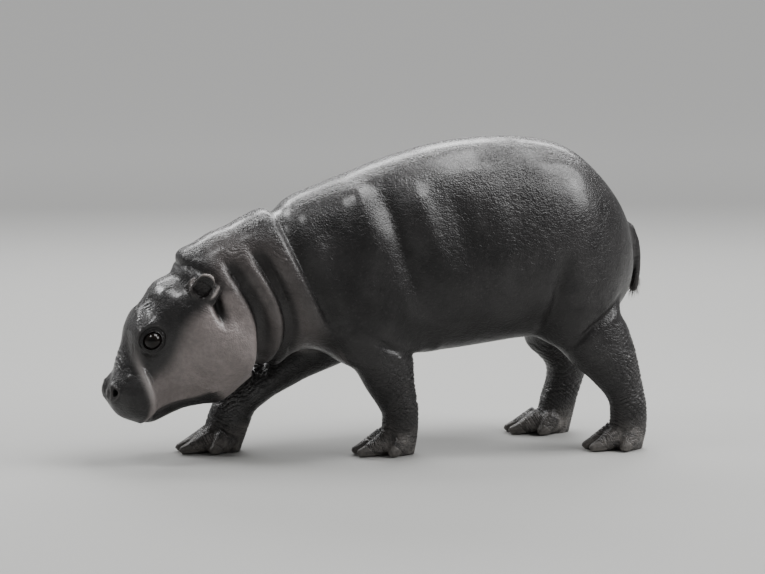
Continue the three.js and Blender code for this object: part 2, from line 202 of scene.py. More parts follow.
class Surface:
    """A closed triangle mesh, held as arrays in millimetres.

    Attributes:
        points: one row of X, Y, Z for each vertex.
        faces: one row of three vertex numbers for each triangle.
    """

    def __init__(self, points: np.ndarray, faces: np.ndarray) -> None:
        """Keeps the arrays."""
        self.points = np.asarray(points, float)
        self.faces = np.asarray(faces, np.int64)
        self._edges: np.ndarray | None = None

    @classmethod
    def from_mesh(cls, mesh: bpy.types.Mesh) -> "Surface":
        """Reads a Blender mesh, as triangles with its doubled vertices merged."""
        mesh.calc_loop_triangles()
        points = np.empty(len(mesh.vertices) * 3, np.float32)
        mesh.vertices.foreach_get("co", points)
        faces = np.empty(len(mesh.loop_triangles) * 3, np.int32)
        mesh.loop_triangles.foreach_get("vertices", faces)
        points = points.reshape(-1, 3).astype(float) / MM
        rounded = np.round(points, 3)
        _, first, merged = np.unique(rounded, axis=0, return_index=True, return_inverse=True)
        faces = merged.reshape(-1)[faces].reshape(-1, 3)
        whole = (faces != np.roll(faces, 1, axis=1)).all(axis=1)
        return cls(points[first], faces[whole])

    def edges(self) -> np.ndarray:
        """Gives each edge once, as two vertex numbers."""
        if self._edges is None:
            ends = self.faces[:, [0, 1, 1, 2, 2, 0]].reshape(-1, 2)
            low, high = ends.min(axis=1), ends.max(axis=1)
            keys = np.unique(low * len(self.points) + high)
            self._edges = np.stack([keys // len(self.points), keys % len(self.points)], 1)
        return self._edges

    def normals(self) -> np.ndarray:
        """Gives each vertex's outward direction."""
        a, b, c = (self.points[self.faces[:, i]] for i in range(3))
        face = np.cross(b - a, c - a)
        total = np.empty_like(self.points)
        for axis in range(3):
            weights = np.repeat(face[:, axis], 3)
            total[:, axis] = np.bincount(
                self.faces.ravel(), weights=weights, minlength=len(self.points)
            )
        return total / np.maximum(np.linalg.norm(total, axis=1, keepdims=True), 1e-12)

    def spread(self, values: np.ndarray, pull: np.ndarray, rounds: int) -> np.ndarray:
        """Draws each vertex's values towards those of its neighbours, again and again.

        Args:
            values: one number or row for each vertex.
            pull: how far each vertex goes each time, from 0 to 1.
            rounds: how many times.

        Returns:
            The spread values.
        """
        start, end = self.edges().T
        source = np.concatenate([end, start])
        target = np.concatenate([start, end])
        count = len(self.points)
        degree = np.maximum(np.bincount(target, minlength=count), 1)
        columns = values[:, None] if values.ndim == 1 else values
        columns = [column.copy() for column in columns.T]
        for _ in range(rounds):
            for i, column in enumerate(columns):
                total = np.bincount(target, weights=column[source], minlength=count)
                columns[i] = column + pull * (total / degree - column)
        return columns[0] if values.ndim == 1 else np.stack(columns, axis=1)

    def smooth(self, pull: np.ndarray, rounds: int, keep: float = 1.0) -> None:
        """Smooths the shape, then swells it back to the size that it had.

        Args:
            pull: how strongly each vertex is smoothed, from 0 to 1.
            rounds: how many times.
            keep: the share of the lost size that is given back.
        """
        before = self.points
        self.points = self.spread(before, pull, rounds)
        if keep:
            normals = self.normals()
            lost = np.einsum("ij,ij->i", before - self.points, normals)
            lost = self.spread(lost, pull, rounds)
            self.points = self.points + normals * (keep * lost)[:, None]

    def bend(self, rounds: int) -> np.ndarray:
        """Gives how hollow the skin is round each vertex: above 0 in a crease, below 0 on a ridge."""
        start, end = self.edges().T
        count = len(self.points)
        lengths = ((self.points[start] - self.points[end]) ** 2).sum(axis=1)
        total = np.bincount(start, lengths, count) + np.bincount(end, lengths, count)
        total /= np.maximum(np.bincount(start, minlength=count) + np.bincount(end, minlength=count), 1)
        pull = np.full(count, 0.6)
        gap = self.spread(self.points, pull, rounds) - self.points
        deep = np.einsum("ij,ij->i", gap, self.normals()) / np.maximum(self.spread(total, pull, rounds), 1e-6)
        return deep * 4 / (0.6 * rounds)

    def push(self, distance: np.ndarray) -> None:
        """Moves each vertex outwards by its distance."""
        self.points = self.points + self.normals() * distance[:, None]

    def refine(self, chosen: np.ndarray) -> None:
        """Splits triangles in four, and their neighbours to match.

        Args:
            chosen: for each vertex, whether the triangles round it are split.
        """
        count = len(self.points)
        faces = self.faces
        sides = np.stack([faces, np.roll(faces, -1, axis=1)], axis=2)
        keys = sides.min(axis=2) * count + sides.max(axis=2)
        split = np.unique(keys[chosen[faces].all(axis=1)])
        place = np.minimum(np.searchsorted(split, keys), len(split) - 1)
        cut = split[place] == keys
        middle = count + place
        ends = np.stack([split // count, split % count], axis=1)
        self.points = np.vstack([self.points, self.points[ends].mean(axis=1)])
        cuts = cut.sum(axis=1)
        made = [faces[cuts == 0]]
        # Every side cut: four triangles.
        (a, b, c), (ab, bc, ca) = faces[cuts == 3].T, middle[cuts == 3].T
        for corner in ((a, ab, ca), (ab, b, bc), (ca, bc, c), (ab, bc, ca)):
            made.append(np.stack(corner, axis=1))
        # Two sides cut: turned so that the whole side comes last.
        turn = (np.argmin(cut[cuts == 2], axis=1) + 1) % 3
        (a, b, c), (ab, bc, _) = turned(faces[cuts == 2], turn), turned(middle[cuts == 2], turn)
        for corner in ((ab, b, bc), (a, ab, bc), (a, bc, c)):
            made.append(np.stack(corner, axis=1))
        # One side cut: turned so that it comes first.
        turn = np.argmax(cut[cuts == 1], axis=1)
        (a, b, c), (ab, _, _) = turned(faces[cuts == 1], turn), turned(middle[cuts == 1], turn)
        for corner in ((a, ab, c), (ab, b, c)):
            made.append(np.stack(corner, axis=1))
        self.faces = np.vstack(made)
        self._edges = None

    def to_object(self, name: str) -> bpy.types.Object:
        """Makes a smooth-shaded Blender object of the mesh, in metres."""
        mesh = bpy.data.meshes.new(name)
        mesh.vertices.add(len(self.points))
        mesh.vertices.foreach_set("co", (self.points * MM).astype(np.float32).ravel())
        mesh.loops.add(len(self.faces) * 3)
        mesh.loops.foreach_set("vertex_index", self.faces.astype(np.int32).ravel())
        mesh.polygons.add(len(self.faces))
        mesh.polygons.foreach_set("loop_start", np.arange(0, len(self.faces) * 3, 3, dtype=np.int32))
        mesh.update(calc_edges=True)
        mesh.shade_smooth()
        made = bpy.data.objects.new(name, mesh)
        bpy.context.scene.collection.objects.link(made)
        return made


def turned(rows: np.ndarray, turn: np.ndarray) -> np.ndarray:
    """Rolls each row of three to the left by its own number of places.

    Args:
        rows: the rows.
        turn: how far each is rolled.

    Returns:
        The three rolled columns, as rows.
    """
    order = (np.arange(3)[None, :] + turn[:, None]) % 3
    return np.take_along_axis(rows, order, axis=1).T


def joined(parts: Sequence[Surface]) -> Surface:
    """Puts several meshes into one, with nothing merged."""
    starts = np.cumsum([0, *(len(part.points) for part in parts)])
    faces = [part.faces + start for part, start in zip(parts, starts)]
    return Surface(np.vstack([part.points for part in parts]), np.vstack(faces))


def remeshed(surface: Surface, voxel: float) -> Surface:
    """Makes one even skin round overlapping solids.

    Args:
        surface: the solids.
        voxel: the size of the new skin's squares.

    Returns:
        The new skin.
    """
    rough = surface.to_object("rough")
    modifier = rough.modifiers.new("even", "REMESH")
    modifier.mode = "VOXEL"
    modifier.voxel_size = voxel * MM
    evaluated = rough.evaluated_get(bpy.context.evaluated_depsgraph_get())
    made = Surface.from_mesh(evaluated.to_mesh())
    evaluated.to_mesh_clear()
    mesh = rough.data
    bpy.data.objects.remove(rough)
    bpy.data.meshes.remove(mesh)
    return made


# ------------------------------------------------------------------ the animal's own form

SIDE_NAMES = ("left", "right")
TOE_NAMES = ("inner", "second", "third", "outer")
EYE_NODES = tuple(f"eye_{side}" for side in SIDE_NAMES)
HOOF_NODES = tuple(
    f"hoof_{end}_{side}_{toe}" for end in ("fore", "hind") for side in SIDE_NAMES for toe in TOE_NAMES
)
FLESH_NODES = (
    "head", "lower_jaw", "neck", "trunk", "tail",
    *(f"{piece}_{side}" for piece in ("ear", "foreleg", "forefoot", "hindleg", "hindfoot")
      for side in SIDE_NAMES),
)


@dataclass
class BodyForm:
    """The calf's solids drawn into one even, soft skin.

    Attributes:
        voxel: the size of the first skin's squares, in millimetres.
        swell: how far the flesh is swelled, so that its solids meet.
        hoof_inset: how far the hooves lie under the skin.
        eye_inset: how far the eyeballs lie under the skin.
        softness: how far the form of each kind of solid is smoothed, in millimetres.
        rounds: how many times the smoothing is done.
    """

    voxel: float = 3.3
    swell: float = 0.5
    hoof_inset: float = 1.0
    eye_inset: float = 1.4
    softness: dict[str, float] = field(default_factory=lambda: {
        "trunk": 15.0, "neck": 11.0, "head": 6.5, "lower": 5.0, "foreleg": 8.0, "hindleg": 8.0,
        "forefoot": 3.0, "hindfoot": 3.0, "hoof": 2.0, "eye": 2.5, "tail": 3.0, "ear": 2.2,
    })
    rounds: int = 90

    def inset_of(self, name: str) -> float:
        """Gives how far a node's surface is drawn in, or swelled if it is below 0."""
        if name in EYE_NODES:
            return self.eye_inset
        return self.hoof_inset if name in HOOF_NODES else -self.swell

    def build(self) -> Surface:
        """Makes the soft skin from the solids.

        Returns:
            The skin, a closed mesh.
        """
        names = [*FLESH_NODES, *EYE_NODES, *HOOF_NODES]
        solids = [Surface.from_mesh(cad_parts[name].data) for name in names]
        whole = joined(solids)
        for name, solid in zip(names, solids):
            solid.push(np.full(len(solid.points), -self.inset_of(name)))
        skin = remeshed(joined(solids), self.voxel)
        LOG.info("even skin: %d faces", len(skin.faces))

        owner = np.repeat(np.arange(len(names)), [len(solid.faces) for solid in solids])
        tree = BVHTree.FromPolygons(whole.points.tolist(), whole.faces.tolist())
        nearest = [owner[tree.find_nearest(Vector(point))[2]] for point in skin.points]
        radius = np.array([self.softness[name.split("_")[0]] for name in names])
        weight = (radius / radius.max()) ** 2
        pull = skin.spread(weight[nearest], np.full(len(skin.points), 0.5), 12)
        skin.smooth(0.6 * pull, self.rounds)
        return skin


# ------------------------------------------------------------------ shader expressions


@dataclass(frozen=True)
class Value:
    """A number that changes over a surface, with the usual arithmetic.

    Attributes:
        graph: the material's nodes.
        socket: the output that gives the number.
    """

    graph: "Graph"
    socket: bpy.types.NodeSocket

    def _math(self, operation: str, *inputs: "Value | float") -> "Value":
        """Adds a Math node."""
        sockets = dict(enumerate(inputs))
        return Value(self.graph, self.graph.add("Math", {"operation": operation}, sockets).outputs[0])

    def __add__(self, other: "Value | float") -> "Value":
        """Adds."""
        return self._math("ADD", self, other)

    def __radd__(self, other: float) -> "Value":
        """Adds to a plain number."""
        return self._math("ADD", other, self)

    def __sub__(self, other: "Value | float") -> "Value":
        """Subtracts."""
        return self._math("SUBTRACT", self, other)

    def __rsub__(self, other: float) -> "Value":
        """Subtracts from a plain number."""
        return self._math("SUBTRACT", other, self)

    def __mul__(self, other: "Value | float") -> "Value":
        """Multiplies."""
        return self._math("MULTIPLY", self, other)

    def __rmul__(self, other: float) -> "Value":
        """Multiplies a plain number."""
        return self._math("MULTIPLY", other, self)

    def __truediv__(self, other: "Value | float") -> "Value":
        """Divides."""
        return self._math("DIVIDE", self, other)

    def __pow__(self, other: "Value | float") -> "Value":
        """Raises to a power."""
        return self._math("POWER", self, other)

    def clipped(self) -> "Value":
        """Keeps the number between 0 and 1."""
        made = self._math("ADD", self, 0.0)
        made.socket.node.use_clamp = True
        return made

    def step(self, start: float, end: float) -> "Value":
        """Rises smoothly from 0 at start to 1 at end."""
        settings = {"interpolation_type": "SMOOTHSTEP"}
        sockets = {"Value": self, "From Min": start, "From Max": end}
        return Value(self.graph, self.graph.add("MapRange", settings, sockets).outputs[0])


Colour = tuple[float, float, float]
Feed = Value | bpy.types.NodeSocket | float | Sequence[float]


class Graph:
    """The nodes of one material, built round a Principled shader.

    Attributes:
        material: the material.
        shader: its Principled node.
    """

    def __init__(self, name: str) -> None:
        """Starts an empty material."""
        self.material = bpy.data.materials.new(name)
        self.material.use_nodes = True
        self.material.node_tree.nodes.clear()
        self.shader = self.add("BsdfPrincipled")
        self.add("OutputMaterial", sockets={"Surface": self.shader.outputs[0]})

    def add(
        self, kind: str, settings: dict[str, object] | None = None,
        sockets: dict[str | int, Feed] | None = None,
    ) -> bpy.types.Node:
        """Adds a node.

        Args:
            kind: the node's type, without the word ShaderNode.
            settings: its own settings; "stops" gives a ramp's places and greys or colours.
            sockets: the value or link of each input, by name or number.

        Returns:
            The node.
        """
        node = self.material.node_tree.nodes.new("ShaderNode" + kind)
        for key, setting in (settings or {}).items():
            if key == "stops":
                self._set_stops(node.color_ramp, setting)
            else:
                setattr(node, key, setting)
        for key, feed in (sockets or {}).items():
            self.feed(node.inputs[key], feed)
        return node

    def _set_stops(self, band: bpy.types.ColorRamp, stops: Sequence[tuple[float, Colour]]) -> None:
        """Puts the stops on a ramp."""
        while len(band.elements) < len(stops):
            band.elements.new(0.5)
        for element, (place, colour) in zip(band.elements, stops):
            element.position = place
            element.color = (*colour, 1.0)

    def feed(self, socket: bpy.types.NodeSocket, feed: Feed) -> None:
        """Links an input, or sets its value."""
        source = feed.socket if isinstance(feed, Value) else feed
        if isinstance(source, bpy.types.NodeSocket):
            self.material.node_tree.links.new(source, socket)
        else:
            if socket.type == "RGBA":
                source = (*source[:3], 1.0)
            socket.default_value = source

    def mask(self, name: str) -> Value:
        """Reads a number that the mesh holds at each vertex."""
        node = self.add("Attribute", {"attribute_name": name})
        return Value(self, node.outputs["Fac"])

    def place(self) -> bpy.types.NodeSocket:
        """Gives the point's own place, in metres."""
        return self.add("TexCoord").outputs["Object"]

    def stretched(self, scale: Sequence[float], turn: Sequence[float] = (0, 0, 0)) -> bpy.types.NodeSocket:
        """Gives the point's place, turned and scaled."""
        sockets = {"Vector": self.place(), "Scale": scale, "Rotation": turn}
        return self.add("Mapping", sockets=sockets).outputs[0]

    def noise(
        self, size: float, detail: float = 3.0, rough: float = 0.5, where: Feed | None = None,
        warp: float = 0.0,
    ) -> Value:
        """Gives a cloudy pattern, from 0 to 1.

        Args:
            size: the width of its clouds, in millimetres.
            detail: how many finer layers it holds.
            rough: how strong they are.
            where: the place it is read at, or none for the point's own.
            warp: how far it is pulled about.

        Returns:
            The pattern.
        """
        sockets = {
            "Vector": where or self.place(), "Scale": 1 / (size * MM), "Detail": detail,
            "Roughness": rough, "Distortion": warp,
        }
        return Value(self, self.add("TexNoise", sockets=sockets).outputs[0])

    def cells(self, size: float, feature: str, where: Feed | None = None, scatter: float = 1.0) -> Value:
        """Gives a pattern of cells.

        Args:
            size: the width of a cell, in millimetres.
            feature: what is measured: F1, SMOOTH_F1 or DISTANCE_TO_EDGE.
            where: the place it is read at, or none for the point's own.
            scatter: how uneven the cells are.

        Returns:
            The distance, in cells.
        """
        sockets = {"Vector": where or self.place(), "Scale": 1 / (size * MM), "Randomness": scatter}
        node = self.add("TexVoronoi", {"feature": feature}, sockets)
        return Value(self, node.outputs["Distance"])

    def mix(self, share: Feed, first: Feed, second: Feed, blend: str = "MIX") -> bpy.types.NodeSocket:
        """Mixes two colours."""
        settings = {"data_type": "RGBA", "blend_type": blend}
        return self.add("Mix", settings, {0: share, 6: first, 7: second}).outputs[2]

    def bump(self, height: Value, distance: float, strength: float = 1.0, under: Feed | None = None) -> Feed:
        """Gives the normals of a surface raised by a pattern.

        Args:
            height: the pattern.
            distance: how high it stands, in millimetres.
            strength: how strongly it shows.
            under: the normals that it lies on, if any.

        Returns:
            The normals.
        """
        sockets = {"Height": height, "Distance": distance * MM, "Strength": strength}
        if under is not None:
            sockets["Normal"] = under
        return self.add("Bump", sockets=sockets).outputs[0]

    def set(self, **inputs: Feed) -> bpy.types.Material:
        """Sets the shader's inputs, named with _ for a space, and gives the material."""
        for name, feed in inputs.items():
            self.feed(self.shader.inputs[name.replace("_", " ")], feed)
        return self.material


# ------------------------------------------------------------------ sculpting


class Plane(Enum):
    """The flat view in which a line on the skin is drawn."""

    SIDE = "frame X and Z"
    HEAD = "forward and up in the head's axes"


@dataclass(frozen=True)
class Fold:
    """A fold across the skin, drawn in a flat view and cut from side to side.

    Its path runs downwards or forwards. The skin on its two sides may swell or recover in
    different ways, so that one roll hangs over the next.

    Attributes:
        stops: its path in the flat view.
        depth: how deep it is cut.
        ahead: how wide the cut is on the nose's side.
        behind: how wide it is on the tail's side.
        swell: how far the skin swells ahead of it and behind it.
        reach: how far from it that swelling is, and how wide.
        fade: the share of its length over which its start and its end fade.
        plane: the view; not used, as the caller gives the points already in the view.
        sides: the sides of the animal that it is cut in.
        round: how round its bottom is.
        flat: how flat its bottom is on the tail's side: 1 is sharp, 2 is flat.
    """

    stops: tuple[tuple[float, float], ...]
    depth: float
    ahead: float = 4.0
    behind: float = 8.0
    swell: tuple[float, float] = (0.0, 0.0)
    reach: float = 12.0
    fade: tuple[float, float] = (0.15, 0.15)
    plane: Plane = Plane.SIDE
    sides: tuple[int, ...] = (LEFT, RIGHT)
    round: float = 1.6
    flat: float = 1.0

    def shape(self, points: np.ndarray, flat: np.ndarray) -> np.ndarray:
        """Works out how far the fold moves each point outwards.

        Args:
            points: the points in the frame.
            flat: the same points in the fold's view.

        Returns:
            The distances.
        """
        path = curve_through(self.stops)
        room = 3 * max(self.ahead, self.behind, self.reach if any(self.swell) else 0) + 2
        near = ((flat > path.min(axis=0) - room) & (flat < path.max(axis=0) + room)).all(axis=1)
        side = np.where(points[:, 1] < 0, LEFT, RIGHT)
        near &= np.isin(side, self.sides)
        moved = np.zeros(len(points))
        if not near.any():
            return moved
        away, along = measure_from(path, flat[near])
        start, end = self.fade
        fade = ramp(along, -1e-6, max(start, 1e-6)) * ramp(1 - along, -1e-6, max(end, 1e-6))
        width = np.where(away < 0, self.ahead, self.behind)
        far = (np.sqrt(away**2 + self.round**2) - self.round) / width
        cut = -self.depth * np.exp(-far ** np.where(away < 0, 1.0, self.flat))
        front = self.swell[0] * bell(away + self.reach, self.reach)
        rear = self.swell[1] * bell(away - self.reach, self.reach)
        moved[near] = fade * (cut + front + rear)
        return moved


@dataclass(frozen=True)
class Ridge:
    """A soft ridge, or a hollow if it is below 0, drawn like a fold.

    Attributes:
        stops: its path in the flat view.
        height: how far it stands out.
        width: how wide it is.
        fade: the share of its length over which its start and its end fade.
        plane: the view; not used, as the caller gives the points already in the view.
        sides: the sides of the animal that it is on.
    """

    stops: tuple[tuple[float, float], ...]
    height: float
    width: float
    fade: tuple[float, float] = (0.3, 0.3)
    plane: Plane = Plane.SIDE
    sides: tuple[int, ...] = (LEFT, RIGHT)

    def shape(self, points: np.ndarray, flat: np.ndarray) -> np.ndarray:
        """Works out how far the ridge moves each point outwards.

        Args:
            points: the points in the frame.
            flat: the same points in the ridge's view.

        Returns:
            The distances.
        """
        path = curve_through(self.stops)
        room = 2.6 * self.width
        near = ((flat > path.min(axis=0) - room) & (flat < path.max(axis=0) + room)).all(axis=1)
        near &= np.isin(np.where(points[:, 1] < 0, LEFT, RIGHT), self.sides)
        moved = np.zeros(len(points))
        if near.any():
            away, along = measure_from(path, flat[near])
            start, end = self.fade
            fade = ramp(along, -1e-6, max(start, 1e-6)) * ramp(1 - along, -1e-6, max(end, 1e-6))
            moved[near] = self.height * fade * bell(away, self.width)
        return moved


BOW_STOPS = 7  # points along a bowed line


def bowed(
    start: tuple[float, float], end: tuple[float, float], bow: float, skew: float = 1.0
) -> tuple[tuple[float, float], ...]:
    """Draws a line of skin that bows out between its two ends.

    Args:
        start: where it starts.
        end: where it ends.
        bow: how far it stands off the straight way, to the left of the way it runs.
        skew: 1 for a bow that is fullest in the middle, more for one that is fullest lower down.

    Returns:
        The line's points.
    """
    first, last = np.array(start, float), np.array(end, float)
    way = last - first
    aside = np.array([-way[1], way[0]]) / np.linalg.norm(way)
    shares = np.linspace(0, 1, BOW_STOPS)
    return tuple(
        tuple(first + share * way + 4 * bow * share**skew * (1 - share**skew) * aside) for share in shares
    )


NECK_AND_BODY: tuple[Fold | Ridge, ...] = (
    # The nape's skin, which hangs over the back of the skull, and the hollow behind the ear.
    Fold(((-335, 305), (-320, 314), *bowed((-295, 303), (-268, 212), 9, 0.6)), 6.0, 5.0, 8.0,
         (0.5, 1.5), 12.0, (0.05, 0.4), round=3.0),
    Ridge(bowed((-300, 300), (-262, 212), 4), -10.0, 9.0, (0.3, 0.4)),
    # The four rolls behind the jowl: a flat valley, then a slow rise to a round edge.
    Fold(bowed((-270, 335), (-215, 135), 26, 1.5), 14.0, 4.5, 21.0, (2.5, 0.0), 16.0, (0.2, 0.05), flat=2.2),
    Fold(bowed((-230, 355), (-190, 130), 35, 1.5), 13.5, 4.5, 21.0, (2.5, 0.0), 16.0, (0.2, 0.0), flat=2.2),
    Fold(bowed((-220, 370), (-150, 150), 15, 1.5), 3.5, 4.0, 9.0, (1.0, 0.0), 11.0, (0.35, 0.1)),
    Fold(bowed((-180, 410), (-85, 185), -10, 0.7), 11.0, 3.0, 22.0, (3.0, 0.0), 16.0, (0.0, 0.22), flat=1.9),
    # The broad, shallow folds of the front flank.
    Ridge(bowed((-110, 395), (-75, 255), -4), -5.0, 20.0, (0.25, 0.4)),
    Ridge(bowed((-60, 445), (-25, 295), 0), 7.0, 18.0, (0.2, 0.5)),
    Ridge(bowed((-15, 445), (45, 225), -5, 0.7), -9.5, 16.0, (0.22, 0.4)),
    Ridge(bowed((30, 445), (90, 260), -6), 6.5, 17.0, (0.22, 0.5)),
    Ridge(bowed((85, 435), (125, 275), 0), -4.5, 18.0, (0.3, 0.5)),
    Ridge(bowed((150, 440), (175, 285), 0), 2.6, 20.0, (0.3, 0.5)),
    # The flap of skin over the elbow, and the bag of skin behind it.
    Fold(bowed((-50, 205), (58, 160), -6), 6.0, 6.0, 2.8, (2.0, 1.6), 9.0, (0.3, 0.1), sides=(LEFT,)),
    Ridge(bowed((25, 186), (92, 184), -9), 5.0, 14.0, (0.3, 0.3)),
    # The fold before the thigh, the thigh's own crease and the bend of the knee.
    Ridge(bowed((270, 345), (245, 160), 3), -8.5, 14.0, (0.4, 0.2)),
    Ridge(bowed((312, 262), (286, 172), 0), 4.0, 20.0, (0.4, 0.3)),
    Fold(((388, 262), (360, 230), (314, 196), (280, 156)), 6.0, 7.0, 3.5, (1.0, 2.2), 10.0, (0.3, 0.3)),
)

EAR_HOLLOW, BODY_CREASE = NECK_AND_BODY[1], NECK_AND_BODY[5]  # the lines that the pale parts end at

HEAD_LINES: tuple[Fold | Ridge, ...] = (
    # The mouth.
    Fold(bowed((112, -52), (224, -24), 16, 1.9), 3.4, 1.8, 1.5, (-0.5, 1.2), 5.0, (0.35, 0.0), Plane.HEAD,
         round=0.8),
    # Dents in the brow, over and before the eye.
    Ridge(((66, 118), (88, 114), (110, 104)), -2.4, 6.0, (0.3, 0.3), Plane.HEAD),
    Ridge(((96, 122), (118, 108), (134, 92)), 2.2, 5.0, (0.3, 0.3), Plane.HEAD),
    Ridge(((84, 126), (104, 121), (124, 108)), -1.6, 3.4, (0.3, 0.3), Plane.HEAD),
    Ridge(((118, 96), (130, 86), (140, 78)), 1.3, 2.2, (0.3, 0.3), Plane.HEAD),
    Ridge(((121, 101), (134, 91), (144, 82)), 1.1, 2.0, (0.3, 0.3), Plane.HEAD),
)

MOUTH = HEAD_LINES[0]


@dataclass(frozen=True)
class Knob:
    """A small round bump on both sides of the head.

    Attributes:
        middle: where it is, in the head's axes, with its distance from the middle above 0.
        height: how far it stands out.
        size: how wide it is.
    """

    middle: tuple[float, float, float]
    height: float
    size: float

    def shape(self, head: np.ndarray) -> np.ndarray:
        """Works out how far the bump moves each point outwards."""
        way = np.column_stack([head[:, :2], np.abs(head[:, 2])]) - self.middle
        return self.height * bell(np.linalg.norm(way, axis=1), self.size)


KNOBS: tuple[Knob, ...] = (
    Knob((185, 54, 44), 2.0, 3.6), Knob((192, 7, 56), 1.5, 3.0), Knob((200, 30, 54), 0.8, 4.0),
    Knob((206, 42, 46), 0.8, 3.4), Knob((178, 38, 52), 0.7, 4.5), Knob((100, 86, 60), 1.2, 4.2),
)


@dataclass
class MuzzlePad:
    """The thick upper lip, which stands out from the cheek behind it.

    Attributes:
        edge: its rear edge in the head's axes, from the top down.
        height: how far it stands above the cheek.
        rim: how far its edge stands above the rest.
        soft: how wide the step between them is.
    """

    edge: tuple[tuple[float, float], ...] = (
        (138, 92), (146, 76), (154, 60), (160, 44), (166, 27), (174, 10), (184, -4), (198, -16),
        (214, -26),
    )
    height: float = 5.0
    rim: float = 2.2
    soft: float = 4.2

    def across(self, head: np.ndarray) -> tuple[np.ndarray, np.ndarray]:
        """Gives each point's distance ahead of the edge, and its place along the edge."""
        return measure_from(curve_through(self.edge), head[:, :2])

    def shape(self, head: np.ndarray) -> np.ndarray:
        """Works out how far the pad moves each point outwards.

        Args:
            head: the points in the head's axes.

        Returns:
            The distances.
        """
        away, along = self.across(head)
        fade = ramp(along, 0.0, 0.35) * ramp(1 - along, 0.0, 0.16) * ramp(np.abs(head[:, 2]), 14, 32)
        fade = np.where((np.abs(away) < 90) & (head[:, 0] > 90), fade, 0)
        step = 0.5 * self.height * np.tanh(away / self.soft) * np.exp(-np.abs(away) / 26)
        return fade * (step + self.rim * bell(away - 5.0, 4.6) - 0.8 * bell(away + 7.0, 5.0))


@dataclass
class Nostrils:
    """The two nostrils, at the upper corners of the nose.

    Attributes:
        middle: where one opens, in the head's axes, with its distance from the middle above 0.
        out: the way that it faces.
        long: the way that its opening runs.
        size: half the opening's length and half its width.
        depth: how deep it goes.
    """

    middle: tuple[float, float, float] = (216.5, 50.0, 38.0)
    out: tuple[float, float, float] = (0.39, 0.48, 0.79)
    long: tuple[float, float, float] = (-0.62, 0.78, 0.0)
    size: tuple[float, float] = (6.0, 3.9)
    depth: float = 9.0

    def reach(self, head: np.ndarray) -> np.ndarray:
        """Gives each point's distance from the nearer nostril, where its edge is at 1."""
        way = head * [1, 1, 0] + np.abs(head) * [0, 0, 1] - self.middle
        out = np.array(self.out) / np.linalg.norm(self.out)
        long = np.array(self.long) - out * (out @ self.long)
        long /= np.linalg.norm(long)
        along, across = way @ long, way @ np.cross(out, long)
        reach = np.hypot(along / self.size[0], (across + 0.05 * along**2) / self.size[1])
        return np.where(np.abs(way @ out) < 14, reach, 99.0)

    def shape(self, head: np.ndarray) -> np.ndarray:
        """Works out how far the nostrils move each point outwards."""
        reach = self.reach(head)
        return 1.9 * bell(reach - 1.75, 0.6) - self.depth * (1 - ramp(reach, 0.25, 1.3))

    def darkness(self, head: np.ndarray) -> np.ndarray:
        """Gives 1 inside the nostrils and 0 outside, where their pits are darkened with painted shade."""
        return 1 - ramp(self.reach(head), 0.7, 1.25)


def wrinkle_field(
    coordinate: np.ndarray, cross: np.ndarray, spacing: float, wander: float, seed: int
) -> np.ndarray:
    """Gives an uneven set of wrinkles that run along one way.

    Args:
        coordinate: the distance across the wrinkles.
        cross: the distance along them.
        spacing: how far apart they lie.
        wander: how far they stray sideways.
        seed: what their chance values grow from.

    Returns:
        A height from -1, in a wrinkle, to about 0.6, between them.
    """
    chance = np.random.default_rng(seed)
    bent = coordinate.copy()
    for turn in range(3):
        size, phase = chance.uniform(5.0, 14.0) * spacing, chance.uniform(0, 2 * math.pi)
        bent += wander / (turn + 1) * np.sin(2 * math.pi * cross / size + phase)
    size, phase = chance.uniform(5.0, 8.0) * spacing, chance.uniform(0, 2 * math.pi)
    bent += 0.5 * spacing * np.sin(2 * math.pi * coordinate / size + phase)
    wave = np.cos(2 * math.pi * bent / spacing)
    return 0.6 - 1.6 * np.exp(-((1 - wave) / 0.45))


